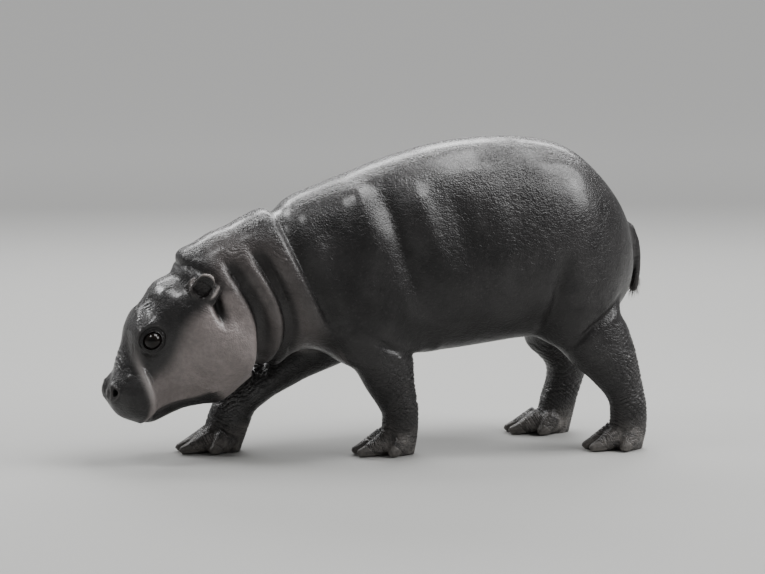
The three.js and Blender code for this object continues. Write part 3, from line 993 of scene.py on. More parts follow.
@dataclass
class Eyelids:
    """The lids of one eye, wrapped round its ball.

    Attributes:
        side: the side of the animal.
        gaze: where the opening looks, with the left side's sign of Y.
        opening: the opening's half sizes: upper lid, lower lid, nose corner and ear corner.
        ball: the eyeball's radius.
        thickness: how thick the lids' edges are.
        reach: how far from the gaze the lids blend into the face.
    """

    side: int
    gaze: tuple[float, float, float] = (-0.30, -0.94, 0.16)
    opening: tuple[float, float, float, float] = (12.6, 13.2, 15.2, 14.4)
    ball: float = 15.2
    thickness: float = 2.2
    reach: float = 33.0

    def axes(self) -> tuple[np.ndarray, np.ndarray, np.ndarray, np.ndarray]:
        """Gives the eye's middle, and its ways out, up and towards the nose."""
        middle = node_middle("eye_left" if self.side == LEFT else "eye_right")
        out = np.array([self.gaze[0], -self.gaze[1] * self.side, self.gaze[2]])
        out /= np.linalg.norm(out)
        up = np.array([-0.30, 0.0, 1.0])
        up -= out * (up @ out)
        up /= np.linalg.norm(up)
        nose = np.cross(out, up)
        return middle, out, up, nose * np.sign(-nose[0])

    def flat(self, points: np.ndarray) -> tuple[np.ndarray, np.ndarray, np.ndarray]:
        """Gives each point's place towards the nose, upwards and outwards from the eye."""
        middle, out, up, nose = self.axes()
        way = points - middle
        return way @ nose, way @ up, way @ out

    def past_edge(self, level: np.ndarray, height: np.ndarray) -> np.ndarray:
        """Gives how far a place lies outside the opening, in millimetres."""
        upper, lower, nose, ear = self.opening
        # The line between the corners dips a little towards the nose.
        height = height + 0.08 * level
        wide = np.where(level > 0, nose, ear)
        tall = np.where(height > 0, upper, lower)
        far = np.hypot(level, height)
        share = (np.abs(level / wide) ** 2.15 + np.abs(height / tall) ** 2.15) ** (1 / 2.15)
        return far * (1 - 1 / np.maximum(share, 0.05))

    def mould(self, skin: Surface) -> None:
        """Wraps the skin round the ball."""
        level, height, depth = self.flat(skin.points)
        far = np.hypot(level, height)
        near = (far < self.reach) & (depth > -14) & (skin.points[:, 1] * self.side > 8)
        level, height, depth, far = (values[near] for values in (level, height, depth, far))
        past = self.past_edge(level, height)
        above = ramp(height, -5.0, 5.0)
        tucked = np.sqrt(np.maximum((self.ball - 3.0) ** 2 - far**2, 0)) - 3.0 * ramp(far, 10, 14)
        edge_height = np.sqrt(np.maximum((self.ball + self.thickness) ** 2 - np.minimum(far, 15.8) ** 2, 0))
        # Away from its edge the lid slopes down to the face, slower above than below.
        slope = 0.30 + 0.12 * (1 - above)
        lid = edge_height - slope * np.maximum(past - 1.2, 0)
        wanted = tucked + (lid - tucked) * ramp(past, -1.3, 0.5)
        keep = ramp(past, 2.0, 11.0)
        made = wanted * (1 - keep) + depth * keep
        round_up = 0.5 + 0.5 * np.sin(2.2 * np.arctan2(height, level) + 0.6)
        lines = -1.5 * bell(past - 4.6 - 1.6 * above, 0.9) * (0.35 + 0.65 * round_up)
        lines += 0.5 * bell(past - 2.8, 1.5) - 0.9 * above * round_up * bell(past - 9.5, 1.5)
        lines += (1 - above) * (0.5 * bell(past - 8.5, 2.6) - 0.4 * bell(past - 13.0, 2.2))
        made += lines * ramp(past, 1.0, 3.0)
        blend = 1 - ramp(far, self.reach - 9, self.reach)
        skin.points[near] += np.outer((made - depth) * blend, self.axes()[1])


@dataclass(frozen=True)
class Wrinkles:
    """A patch of fine wrinkles that run side by side.

    Attributes:
        middle: its middle, in the frame or in the head's axes (forward, up, out).
        size: how far it reaches each way.
        across: the way across the wrinkles.
        along: the way along them.
        spacing: how far apart they lie.
        depth: how deep they are.
        wander: how far they stray sideways.
        plane: the axes it is given in.
        sides: the sides of the animal that it is on.
    """

    middle: tuple[float, float, float]
    size: tuple[float, float, float]
    across: tuple[float, float, float]
    along: tuple[float, float, float]
    spacing: float
    depth: float
    wander: float = 1.2
    plane: Plane = Plane.SIDE
    sides: tuple[int, ...] = (LEFT, RIGHT)

    def shape(self, points: np.ndarray, axes: HeadAxes) -> np.ndarray:
        """Works out how far the wrinkles move each point outwards.

        Args:
            points: the points in the frame.
            axes: the head's axes.

        Returns:
            The distances.
        """
        side = np.where(points[:, 1] < 0, LEFT, RIGHT)
        places = axes.split(points) if self.plane is Plane.HEAD else points.copy()
        column = 2 if self.plane is Plane.HEAD else 1
        places[:, column] = np.abs(places[:, column])
        middle = np.array(self.middle)
        middle[column] = abs(middle[column])
        share = (places - middle) / self.size
        reach = np.sqrt((share**2).sum(axis=1))
        near = (reach < 1) & np.isin(side, self.sides)
        moved = np.zeros(len(points))
        if near.any():
            way = places[near] - middle
            seed = int(abs(sum(self.middle)) * 10) + 1
            waves = wrinkle_field(way @ np.array(self.across), way @ np.array(self.along),
                                  self.spacing, self.wander, seed)
            moved[near] = self.depth * waves * (1 - ramp(reach[near], 0.35, 1.0))
        return moved


WRINKLES: tuple[Wrinkles, ...] = (
    # Over the bridge of the nose.
    Wrinkles((176, 76, 6), (22, 26, 34), (1.0, 0.1, 0.0), (0.0, 0.0, 1.0), 5.4, 1.15, 0.9, Plane.HEAD),
    # Between the eye and the lip, and over the brow.
    Wrinkles((146, 78, 42), (17, 15, 16), (0.8, 0.6, 0.0), (-0.6, 0.8, 0.0), 4.6, 0.55, 0.8, Plane.HEAD),
    Wrinkles((98, 114, 32), (30, 18, 22), (0.55, 0.2, 0.8), (-0.8, 0.1, 0.55), 6.0, 0.55, 1.5, Plane.HEAD),
    # Under the ear.
    Wrinkles((-301, -84, 243), (20, 26, 14), (0.45, 0.0, 0.9), (0.9, 0.0, -0.45), 4.6, 0.42, 1.6),
    # On the rolls of the neck.
    Wrinkles((-246, -60, 330), (30, 60, 26), (0.35, 0.0, 0.95), (0.95, 0.0, -0.35), 5.4, 0.6, 2.4),
    Wrinkles((-180, -90, 322), (18, 60, 30), (0.4, 0.0, 0.9), (0.9, 0.0, -0.4), 6.0, 0.8, 2.4),
    Wrinkles((-158, -90, 268), (18, 60, 30), (0.4, 0.0, 0.9), (0.9, 0.0, -0.4), 5.4, 0.6, 2.0),
    # Over the elbow.
    Wrinkles((4, -100, 172), (66, 70, 20), (0.1, 0.0, 1.0), (1.0, 0.0, -0.1), 7.5, 0.9, 1.2,
             sides=(LEFT,)),
)


def limb_wrinkles() -> tuple[Wrinkles, ...]:
    """Gives the wrinkles of the four legs, placed from their feet."""
    made = []
    for end, rise in (("fore", 128), ("hind", 150)):
        for side, name in ((LEFT, "left"), (RIGHT, "right")):
            low, high = node_box(f"{end}foot_{name}")
            heel, out = high[0], (low[1] + high[1]) / 2
            # Each: its place behind the heel and above the sole, its reach, its slant, spacing and depth.
            patches = (
                # Crossing creases down the leg.
                ((-30, rise), (64, 150, 60), 0.50, 5.6, 1.0),
                ((-24, rise - 6), (64, 150, 60), -0.62, 6.6, 0.8),
                ((-26, 84), (50, 150, 36), -0.30, 5.0, 1.1), ((-20, 72), (50, 150, 36), 0.62, 6.0, 0.8),
                # Curved creases before the ankle, and finer ones over the toes.
                ((-56, 50), (30, 110, 22), 0.55, 4.8, 1.5), ((-78, 26), (30, 110, 16), 0.89, 3.8, 0.6),
                # The heel.
                ((-6, 34), (24, 100, 30), 0.2, 5.0, 0.8),
            )
            for (back, up), size, slant, spacing, depth in patches:
                level = math.sqrt(1 - slant**2)
                along = (0.0, 1.0, 0.0) if up < 60 else (level, 0.0, -slant)
                made.append(Wrinkles((heel + back, out, up), size, (slant, 0.0, level), along, spacing,
                                     depth, 1.5, sides=(side,)))
    return tuple(made)


@dataclass
class TailForm:
    """The short tail's rings and its blunt tip.

    Attributes:
        line: its middle line, as X and Z.
        spacing: how far apart its rings lie.
        depth: how deep they are.
    """

    line: tuple[tuple[float, float], ...] = (
        (397, 352), (412, 336), (423, 312), (430, 285), (432, 262), (430, 240),
    )
    spacing: float = 4.4
    depth: float = 0.55

    def shape(self, points: np.ndarray) -> np.ndarray:
        """Works out how far the rings move each point outwards."""
        away, along = measure_from(curve_through(self.line), points[:, [0, 2]])
        length = 125.0
        near = (1 - ramp(np.hypot(away, points[:, 1]), 9, 12)) * ramp(along, 0.12, 0.3)
        wave = wrinkle_field(along * length, points[:, 1], self.spacing, 0.8, 5)
        return self.depth * near * wave


@dataclass
class Ear:
    """One rounded, cupped ear.

    Attributes:
        side: the side of the animal.
        root: its root from the back of the skull, with the left side's sign of Y.
        turn: its turns about X, Y and Z, in degrees, for the left ear.
        length: from its root to its tip.
        width: across it.
        cup: how deep the cup is sunk.
        rim: how wide the rim round the cup is.
        spread: how much its edge spreads beyond its solid.
    """

    side: int
    root: tuple[float, float, float] = (-74.0, -74.0, 37.0)
    turn: tuple[float, float, float] = (24.0, 23.0, -23.0)
    length: float = 47.0
    width: float = 40.0
    cup: float = 8.0
    rim: float = 2.6
    spread: float = 0.13

    def axes(self) -> np.ndarray:
        """Gives the ear's own ways across, through and along it, as columns."""
        a, b, c = (math.radians(angle) for angle in self.turn)
        about_x = np.array([[1, 0, 0], [0, math.cos(a), -math.sin(a)], [0, math.sin(a), math.cos(a)]])
        about_y = np.array([[math.cos(b), 0, math.sin(b)], [0, 1, 0], [-math.sin(b), 0, math.cos(b)]])
        about_z = np.array([[math.cos(c), -math.sin(c), 0], [math.sin(c), math.cos(c), 0], [0, 0, 1]])
        return about_x @ about_y @ about_z

    def local(self, points: np.ndarray, pivot: np.ndarray) -> np.ndarray:
        """Gives points in the ear's own axes: across, through and along it."""
        placed = points - pivot
        placed = placed * [1, -self.side, 1] - self.root
        return placed @ self.axes()

    def cover(self, local: np.ndarray) -> np.ndarray:
        """Gives 1 on the ear and 0 on the head round it."""
        across, through, along = local.T
        lobe = 1 - ramp(np.abs(across), 0.58 * self.width, 0.75 * self.width)
        return lobe * (1 - ramp(np.abs(through), 13, 18)) * ramp(along, 1, 9)

    def reach(self, local: np.ndarray) -> np.ndarray:
        """Gives each point's place from the cup's middle, at 0, to its edge, at 1."""
        tall = (local[:, 2] - 0.50 * self.length) / (0.56 * self.length)
        return np.hypot(local[:, 0] / (0.53 * self.width), tall)

    def edge(self, local: np.ndarray) -> np.ndarray:
        """Gives 1 along the ear's thin outer edge."""
        return bell(self.reach(local) - 0.97, 0.10) * self.cover(local) * ramp(local[:, 2], 10, 20)

    def mould(self, skin: Surface, pivot: np.ndarray) -> None:
        """Sinks the cup, thins the rim and lays the folds inside it."""
        local = self.local(skin.points, pivot)
        normals = skin.normals() * [1, -self.side, 1] @ self.axes()
        across, _, along = local.T
        reach = self.reach(local)
        facing = ramp(-normals[:, 1], 0.05, 0.5) * self.cover(local)
        cup = -self.cup * (1 - ramp(reach, 0.30, 1 - self.rim / (0.5 * self.width)))
        # A lobe rises from the cup's floor near its root, and a fold runs up its rear half.
        lobe = 3.6 * bell(across + 3.0, 5.0) * bell(along - 11.0, 7.0)
        fold = 1.8 * bell(across - 7.0 - 0.1 * along, 2.6) * bell(along - 20.0, 12.0)
        thin = -0.9 * ramp(reach, 0.92, 1.05) * self.cover(local)
        rear = -1.6 * ramp(normals[:, 1], 0.1, 0.7) * self.cover(local) * ramp(along, 12, 26)
        moved = (cup + lobe + fold) * facing + thin + rear
        skin.push(moved)
        # The edge spreads, most of all at the front of its root.
        local = self.local(skin.points, pivot)
        wide = 1 + self.spread * self.cover(local)
        low = 1 + 0.9 * self.spread * (1 - ramp(local[:, 2], 14, 34)) * (local[:, 0] < 0) * self.cover(local)
        way = local * np.column_stack([wide * low - 1, 0 * wide, 0.6 * (wide - 1)])
        skin.points = skin.points + (way @ self.axes().T) * [1, -self.side, 1]


@dataclass
class HoofPiece:
    """One toe's nail, made fine from its solid.

    Attributes:
        name: its node.
        voxel: the size of its squares.
        rings: the height of its growth rings.
    """

    name: str
    voxel: float = 0.9
    rings: float = 0.16

    def build(self) -> bpy.types.Object:
        """Makes the nail."""
        nail = Surface.from_mesh(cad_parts[self.name].data)
        nail = remeshed(nail, self.voxel)
        nail.smooth(np.full(len(nail.points), 0.6), 5, 0.8)
        root = nail.points[:, 0].max()
        back = root - nail.points[:, 0] + 0.35 * nail.points[:, 2]
        phase = sum(map(ord, self.name)) % 7
        wave = np.sin(2 * math.pi * back / 2.3 + phase) + 0.5 * np.sin(2 * math.pi * back / 1.45 + 2)
        nail.push(self.rings * wave * ramp(nail.points[:, 2], 1.5, 4.0))
        nail.points[:, 2] = np.maximum(nail.points[:, 2], 0.0)
        made = nail.to_object(self.name.replace("hoof", "nail"))
        store(made, "worn", 1 - ramp(nail.points[:, 2], 1.0, 9.0))
        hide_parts(self.name)
        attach(made, "root")
        return made


def store(piece: bpy.types.Object, name: str, values: np.ndarray) -> None:
    """Keeps one number for each vertex on a piece, for its material."""
    layer = piece.data.attributes.new(name, "FLOAT", "POINT")
    layer.data.foreach_set("value", values.astype(np.float32))


@dataclass
class EyePiece:
    """One eyeball, with its cornea, iris and pupil.

    Attributes:
        lids: the lids that it lies in.
        cornea: how far the cornea stands out.
        rings: how many rings its mesh has from front to back.
        spokes: how many points each ring has.
    """

    lids: Eyelids
    cornea: float = 0.9
    rings: int = 72
    spokes: int = 128

    def build(self) -> bpy.types.Object:
        """Makes the eyeball."""
        middle, out, up, nose = self.lids.axes()
        angle = np.linspace(0, math.pi, self.rings + 1)[1:-1]
        turn = np.linspace(0, 2 * math.pi, self.spokes, endpoint=False)
        angles, turns = (grid.ravel() for grid in np.meshgrid(angle, turn, indexing="ij"))
        radius = self.lids.ball + self.cornea * bell(np.degrees(angles), 27.0)
        ways = np.outer(np.cos(angles), out)
        ways += np.outer(np.sin(angles) * np.cos(turns), nose) + np.outer(np.sin(angles) * np.sin(turns), up)
        points = [middle + ways * radius[:, None], [middle + out * (self.lids.ball + self.cornea)],
                  [middle - out * self.lids.ball]]
        count, spokes = len(angles), self.spokes
        faces = []
        for ring in range(self.rings - 2):
            for spoke in range(spokes):
                a, b = ring * spokes + spoke, ring * spokes + (spoke + 1) % spokes
                faces += [(a, a + spokes, b + spokes), (a, b + spokes, b)]
        last = count - spokes
        for spoke in range(spokes):
            ahead = (spoke + 1) % spokes
            faces += [(count, spoke, ahead), (count + 1, last + ahead, last + spoke)]
        ball = Surface(np.vstack(points), np.array(faces))
        if ((ball.normals() * (ball.points - middle)).sum() < 0):
            ball.faces = ball.faces[:, ::-1]
        name = "eye_left" if self.lids.side == LEFT else "eye_right"
        made = ball.to_object("ball_" + name)
        way = ball.points - middle
        store(made, "level", way @ nose)
        store(made, "height", way @ up)
        store(made, "depth", way @ out)
        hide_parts(name)
        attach(made, "root")
        return made


# ------------------------------------------------------------------ the skin

# Where the head is wettest: forward, up and out in its axes, and how far each place reaches.
DAMP: tuple[tuple[float, float, float, float], ...] = (
    (98, 112, 34, 21), (60, 122, 30, 18), (172, 76, 14, 22), (48, 96, 62, 14), (168, 30, 60, 14),
)


@dataclass
class Skin:
    """The whole hide, in one piece.

    Attributes:
        form: the soft body that it is carved from.
        lids: the two eyes' lids.
        pad: the muzzle's thick lip.
        nostrils: the nostrils.
        ears: the two ears.
        mask_edge: where the dark mask ends and the pale cheek starts, as X and Z.
        shade: how deep each point lies in the big folds, from 0 to 1.
        surface: the finished shape.
    """

    form: BodyForm = field(default_factory=BodyForm)
    lids: tuple[Eyelids, ...] = (Eyelids(LEFT), Eyelids(RIGHT))
    pad: MuzzlePad = field(default_factory=MuzzlePad)
    nostrils: Nostrils = field(default_factory=Nostrils)
    ears: tuple[Ear, ...] = (Ear(LEFT), Ear(RIGHT))
    mask_edge: tuple[tuple[float, float], ...] = (
        (-430, 60), (-400, 110), (-378, 136), (-358, 152), (-344, 172), (-336, 196), (-329, 220),
        (-318, 238), (-300, 250), (-282, 268), (-262, 280), (-244, 276), (-224, 254), (-206, 232),
        (-192, 208), (-178, 190), (-170, 160), (-172, 110),
    )
    shade: np.ndarray = field(init=False)
    surface: Surface = field(init=False)

    def build(self) -> bpy.types.Object:
        """Makes the hide.

        Returns:
            The hide, with the numbers that its material reads.
        """
        axes = HeadAxes.from_eyes()
        skin = self.form.build()
        self._refine(skin, axes)
        LOG.info("refined: %d faces", len(skin.faces))
        self._carve(skin, axes)
        self.surface = skin
        made = skin.to_object("skin")
        self._paint(made, skin, axes)
        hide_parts(*FLESH_NODES)
        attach(made, "root")
        return made

    def _refine(self, skin: Surface, axes: HeadAxes) -> None:
        """Makes the mesh finer where the hide has fine forms."""
        def near_eye(points: np.ndarray, reach: float) -> np.ndarray:
            """Tells which points lie near an eye."""
            gaps = [np.linalg.norm(points - lid.axes()[0], axis=1) for lid in self.lids]
            return np.minimum(*gaps) < reach

        x, _, z = skin.points.T
        tail_low, _ = node_box("tail")
        skin.refine((x < -130) | (z < 160) | ((x > tail_low[0]) & (z > tail_low[2] - 10)))
        skin.smooth(np.full(len(skin.points), 0.4), 3)
        head = axes.split(skin.points)
        ear = np.zeros(len(skin.points), bool)
        for lobe in self.ears:
            across, through, along = lobe.local(skin.points, axes.pivot).T
            ear |= (np.abs(across) < 30) & (np.abs(through) < 24) & (along > -8)
        mouth = (np.abs(measure_from(curve_through(MOUTH.stops), head[:, :2])[0]) < 9)
        mouth &= head[:, 0] > 90
        skin.refine(near_eye(skin.points, 36) | ear | mouth | (head[:, 0] > 185) | (skin.points[:, 2] < 32))
        skin.smooth(np.full(len(skin.points), 0.4), 3)
        skin.refine(near_eye(skin.points, 27) | (self.nostrils.reach(axes.split(skin.points)) < 2.8))
        skin.smooth(np.full(len(skin.points), 0.4), 3)

    def _carve(self, skin: Surface, axes: HeadAxes) -> None:
        """Cuts the folds, lids, lips and nostrils."""
        ear = np.max([lobe.cover(lobe.local(skin.points, axes.pivot)) for lobe in self.ears], axis=0)
        moved = np.zeros(len(skin.points))
        for line in NECK_AND_BODY:
            moved += line.shape(skin.points, skin.points[:, [0, 2]])
        self.shade = ramp(-moved, 2.5, 9.0)
        moved += self.pad.shape(axes.split(skin.points))
        skin.push(moved * (1 - ear))
        skin.smooth(np.full(len(skin.points), 0.5), 2)
        head = axes.split(skin.points)
        moved = np.zeros(len(skin.points))
        for line in HEAD_LINES:
            moved += line.shape(skin.points, head[:, :2])
        for knob in KNOBS:
            moved += knob.shape(head)
        for patch in (*WRINKLES, *limb_wrinkles()):
            moved += patch.shape(skin.points, axes)
        moved += TailForm().shape(skin.points)
        skin.push(moved * (1 - ear))
        skin.push(self.nostrils.shape(axes.split(skin.points)))
        for lid in self.lids:
            lid.mould(skin)
        for lobe in self.ears:
            lobe.mould(skin, axes.pivot)
        skin.smooth(np.full(len(skin.points), 0.35), 1)
        skin.points[:, 2] = np.maximum(skin.points[:, 2], 0.0)

    def _paint(self, made: bpy.types.Object, skin: Surface, axes: HeadAxes) -> None:
        """Keeps the hide's markings on the mesh."""
        head = axes.split(skin.points)
        normals = skin.normals()
        x, _, z = skin.points.T
        store(made, "nostril", self.nostrils.darkness(head))
        store(made, "pale", self._pale(skin.points, head))
        eyes = [np.linalg.norm(skin.points - lid.axes()[0], axis=1) for lid in self.lids]
        calm = ramp(np.minimum(*eyes), 20, 34)
        store(made, "eyelid", 1 - ramp(np.minimum(*eyes), 17, 30))
        bend = skin.bend(6)
        store(made, "hollow", ramp(bend, 0.05, 0.45))
        store(made, "raised", ramp(-bend, 0.08, 0.40) * (0.25 + 0.75 * calm))
        store(made, "shade", self.shade)
        store(made, "legs", (1 - ramp(z, 120, 200)) * ramp(x, -330, -300))
        damp = [bell(np.linalg.norm((np.abs(head) - spot[:3]) / spot[3], axis=1), 1.0) for spot in DAMP]
        store(made, "damp", np.max(damp, axis=0))
        # A band along the pad's rear edge, painted paler as a highlight there and made glossier.
        pad_away, pad_along = self.pad.across(head)
        ridge = bell(pad_away - 6.0, 6.0) * bell(pad_along - 0.45, 0.24)
        store(made, "lip_ridge", np.where(head[:, 0] > 90, ridge, 0))
        slow = skin.spread(normals[:, 2], np.full(len(x), 0.6), 40)
        store(made, "top", ramp(slow, -0.05, 0.75))
        store(made, "under", ramp(-slow, 0.15, 0.8) * ramp(z, 60, 110))
        store(made, "feet", (1 - ramp(z, 12, 62)) * ramp(x, -330, -300))
        cups = []
        for lobe in self.ears:
            local = lobe.local(skin.points, axes.pivot)
            facing = ramp(-(normals * [1, -lobe.side, 1] @ lobe.axes())[:, 1], 0.1, 0.6)
            cups.append(facing * lobe.cover(local))
        store(made, "ear_cup", np.max(cups, axis=0))
        rims = [lobe.edge(lobe.local(skin.points, axes.pivot)) for lobe in self.ears]
        store(made, "ear_rim", np.max(rims, axis=0))

    def _pale(self, points: np.ndarray, head: np.ndarray) -> np.ndarray:
        """Gives how pale the cheeks, jowls and throat are, with painted shade behind the ear and under the
        mouth, and painted highlight on the lip's edge and the neck's rolls.
        """
        flat = points[:, [0, 2]]
        away, _ = measure_from(curve_through(self.mask_edge), flat)
        below = ramp(-away, -9, 20)
        # The pale cheek reaches over the lip's rear edge, partly as a painted highlight there.
        pad_away, _ = self.pad.across(head)
        behind = ramp(-pad_away, -13.0, -6.0)
        # Painted shade: below the mouth line the lower jaw stays dark.
        mouth, _ = measure_from(curve_through(MOUTH.stops), head[:, :2])
        lip = np.where(head[:, 0] > 96, ramp(mouth, -3.0, 6.0), 1.0)
        lip = 1 - (1 - lip) * ramp(head[:, 0], 92, 116)
        back = 1 - 0.62 * ramp(points[:, 0], -222, -172)
        # Painted shade: the hollow behind the ear is kept dark.
        behind_ear = bell(measure_from(curve_through(EAR_HOLLOW.stops), flat)[0] - 2, 9.0)
        pale = below * behind * lip * back * (1 - 0.85 * behind_ear * ramp(points[:, 2], 215, 245))
        # The rolls of the neck are paler than the back, but darker than the jowl: partly paler skin, partly a
        # painted highlight from the light above.
        last, _ = measure_from(curve_through(BODY_CREASE.stops), flat)
        neck = (1 - ramp(last, -30, 4)) * ramp(points[:, 0], -300, -262) * ramp(points[:, 2], 120, 180)
        neck *= 1 - ramp(points[:, 2], 320, 385)
        pale = np.maximum(pale, 0.34 * neck)
        leg = BVHTree.FromPolygons(*node_shape("foreleg_right"))
        for i in np.flatnonzero((pale > 0.02) & (points[:, 2] < 170) & (points[:, 1] > 0)):
            pale[i] *= ramp(leg.find_nearest(Vector(points[i]))[3], 3.0, 12.0)
        return pale


# ------------------------------------------------------------------ bristles


@dataclass(frozen=True)
class Tuft:
    """One patch of bristles.

    Attributes:
        count: how many it has.
        length: their shortest and longest lengths.
        width: the radius of their roots.
        lean: the way that they lean.
        stand: how far they stand up from the skin, from 0 to 1.
    """

    count: int
    length: tuple[float, float]
    width: float
    lean: tuple[float, float, float]
    stand: float


@dataclass
class Bristles:
    """The few short bristles on the lips, the ears' edges and the tip of the tail.

    Attributes:
        skin: the hide that they grow from.
        steps: how many rings each one has.
    """

    skin: Skin
    steps: int = 5

    def build(self) -> bpy.types.Object:
        """Makes all the bristles, as one mesh."""
        surface, axes = self.skin.surface, HeadAxes.from_eyes()
        points, normals = surface.points, surface.normals()
        head = axes.split(points)
        lips = (head[:, 0] > 168) & (head[:, 1] < 26) & (head[:, 1] > -22) & (np.abs(head[:, 2]) > 8)
        edges = np.max([lobe.edge(lobe.local(points, axes.pivot)) for lobe in self.skin.ears], axis=0)
        line = curve_through(TailForm().line)
        from_tail = np.hypot(measure_from(line, points[:, [0, 2]])[0], points[:, 1])
        tail = (points[:, 0] > 420) & (points[:, 2] < 266) & (from_tail < 11)
        patches = (
            (lips, Tuft(150, (2.5, 5.5), 0.18, (0.3, 0.0, -0.5), 0.6)),
            (edges > 0.7, Tuft(260, (2.5, 5.5), 0.13, (0.2, 0.0, 0.9), 0.5)),
            (tail, Tuft(220, (7.0, 14.0), 0.22, (-0.1, 0.0, -1.0), 0.35)),
        )
        chance = np.random.default_rng(41)
        made_points, made_faces, places = [], [], []
        for where, tuft in patches:
            roots = chance.choice(np.flatnonzero(where), tuft.count)
            for root in roots:
                self._grow(points[root], normals[root], tuft, chance, made_points, made_faces, places)
        made = Surface(np.vstack(made_points), np.vstack(made_faces)).to_object("bristles")
        self._unwrap(made, np.array(places))
        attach(made, "root")
        return made

    def _grow(self, root: np.ndarray, normal: np.ndarray, tuft: Tuft, chance: np.random.Generator,
              points: list, faces: list, places: list) -> None:
        """Adds one bristle: a thin, bent cone with three sides."""
        side = np.array([1, math.copysign(1, root[1]), 1])
        way = tuft.stand * normal + (1 - tuft.stand) * np.array(tuft.lean) * side
        way = way + chance.normal(0, 0.14, 3)
        way /= np.linalg.norm(way)
        sag = np.array(tuft.lean) * chance.uniform(0.1, 0.35)
        length = chance.uniform(*tuft.length)
        across = np.cross(way, normal + 0.3)
        across /= np.linalg.norm(across)
        beside = np.cross(way, across)
        start = len(places)
        rings = []
        for step in range(self.steps):
            share = step / (self.steps - 1)
            middle = root - normal * 0.6 + (way * share + sag * share**2) * length
            radius = tuft.width * (1 - 0.9 * share)
            for turn in (0.0, 2.1, 4.2):
                rings.append(middle + radius * (math.cos(turn) * across + math.sin(turn) * beside))
        for step in range(self.steps - 1):
            for i in range(3):
                a, b = start + 3 * step + i, start + 3 * step + (i + 1) % 3
                faces.append([(a, b, b + 3), (a, b + 3, a + 3)])
        last = start + 3 * (self.steps - 1)
        faces.append([(start, start + 2, start + 1), (last, last + 1, last + 2)])
        points.append(rings)
        places.extend([self._place(root)] * len(rings))

    def _place(self, root: np.ndarray) -> tuple[float, float]:
        """Gives a root's place on the body's skin, unrolled about its long axis."""
        turn = math.atan2(root[1], root[2] - 240.0) / (2 * math.pi) + 0.5
        return 0.02 + 0.96 * (root[0] + 460) / 920, 0.02 + 0.96 * turn

    def _unwrap(self, made: bpy.types.Object, places: np.ndarray) -> None:
        """Gives each bristle a small patch of the map at its root's place."""
        layer = made.data.uv_layers.new(name="OFBake")
        corners = np.empty(len(made.data.loops), np.int32)
        made.data.loops.foreach_get("vertex_index", corners)
        ring = corners % (3 * self.steps)
        patch = np.column_stack([ring % 3, ring // 3]) / [2, self.steps - 1] * 0.003
        layer.data.foreach_set("uv", (places[corners] + patch - 0.0015).astype(np.float32).ravel())


# ------------------------------------------------------------------ finishes


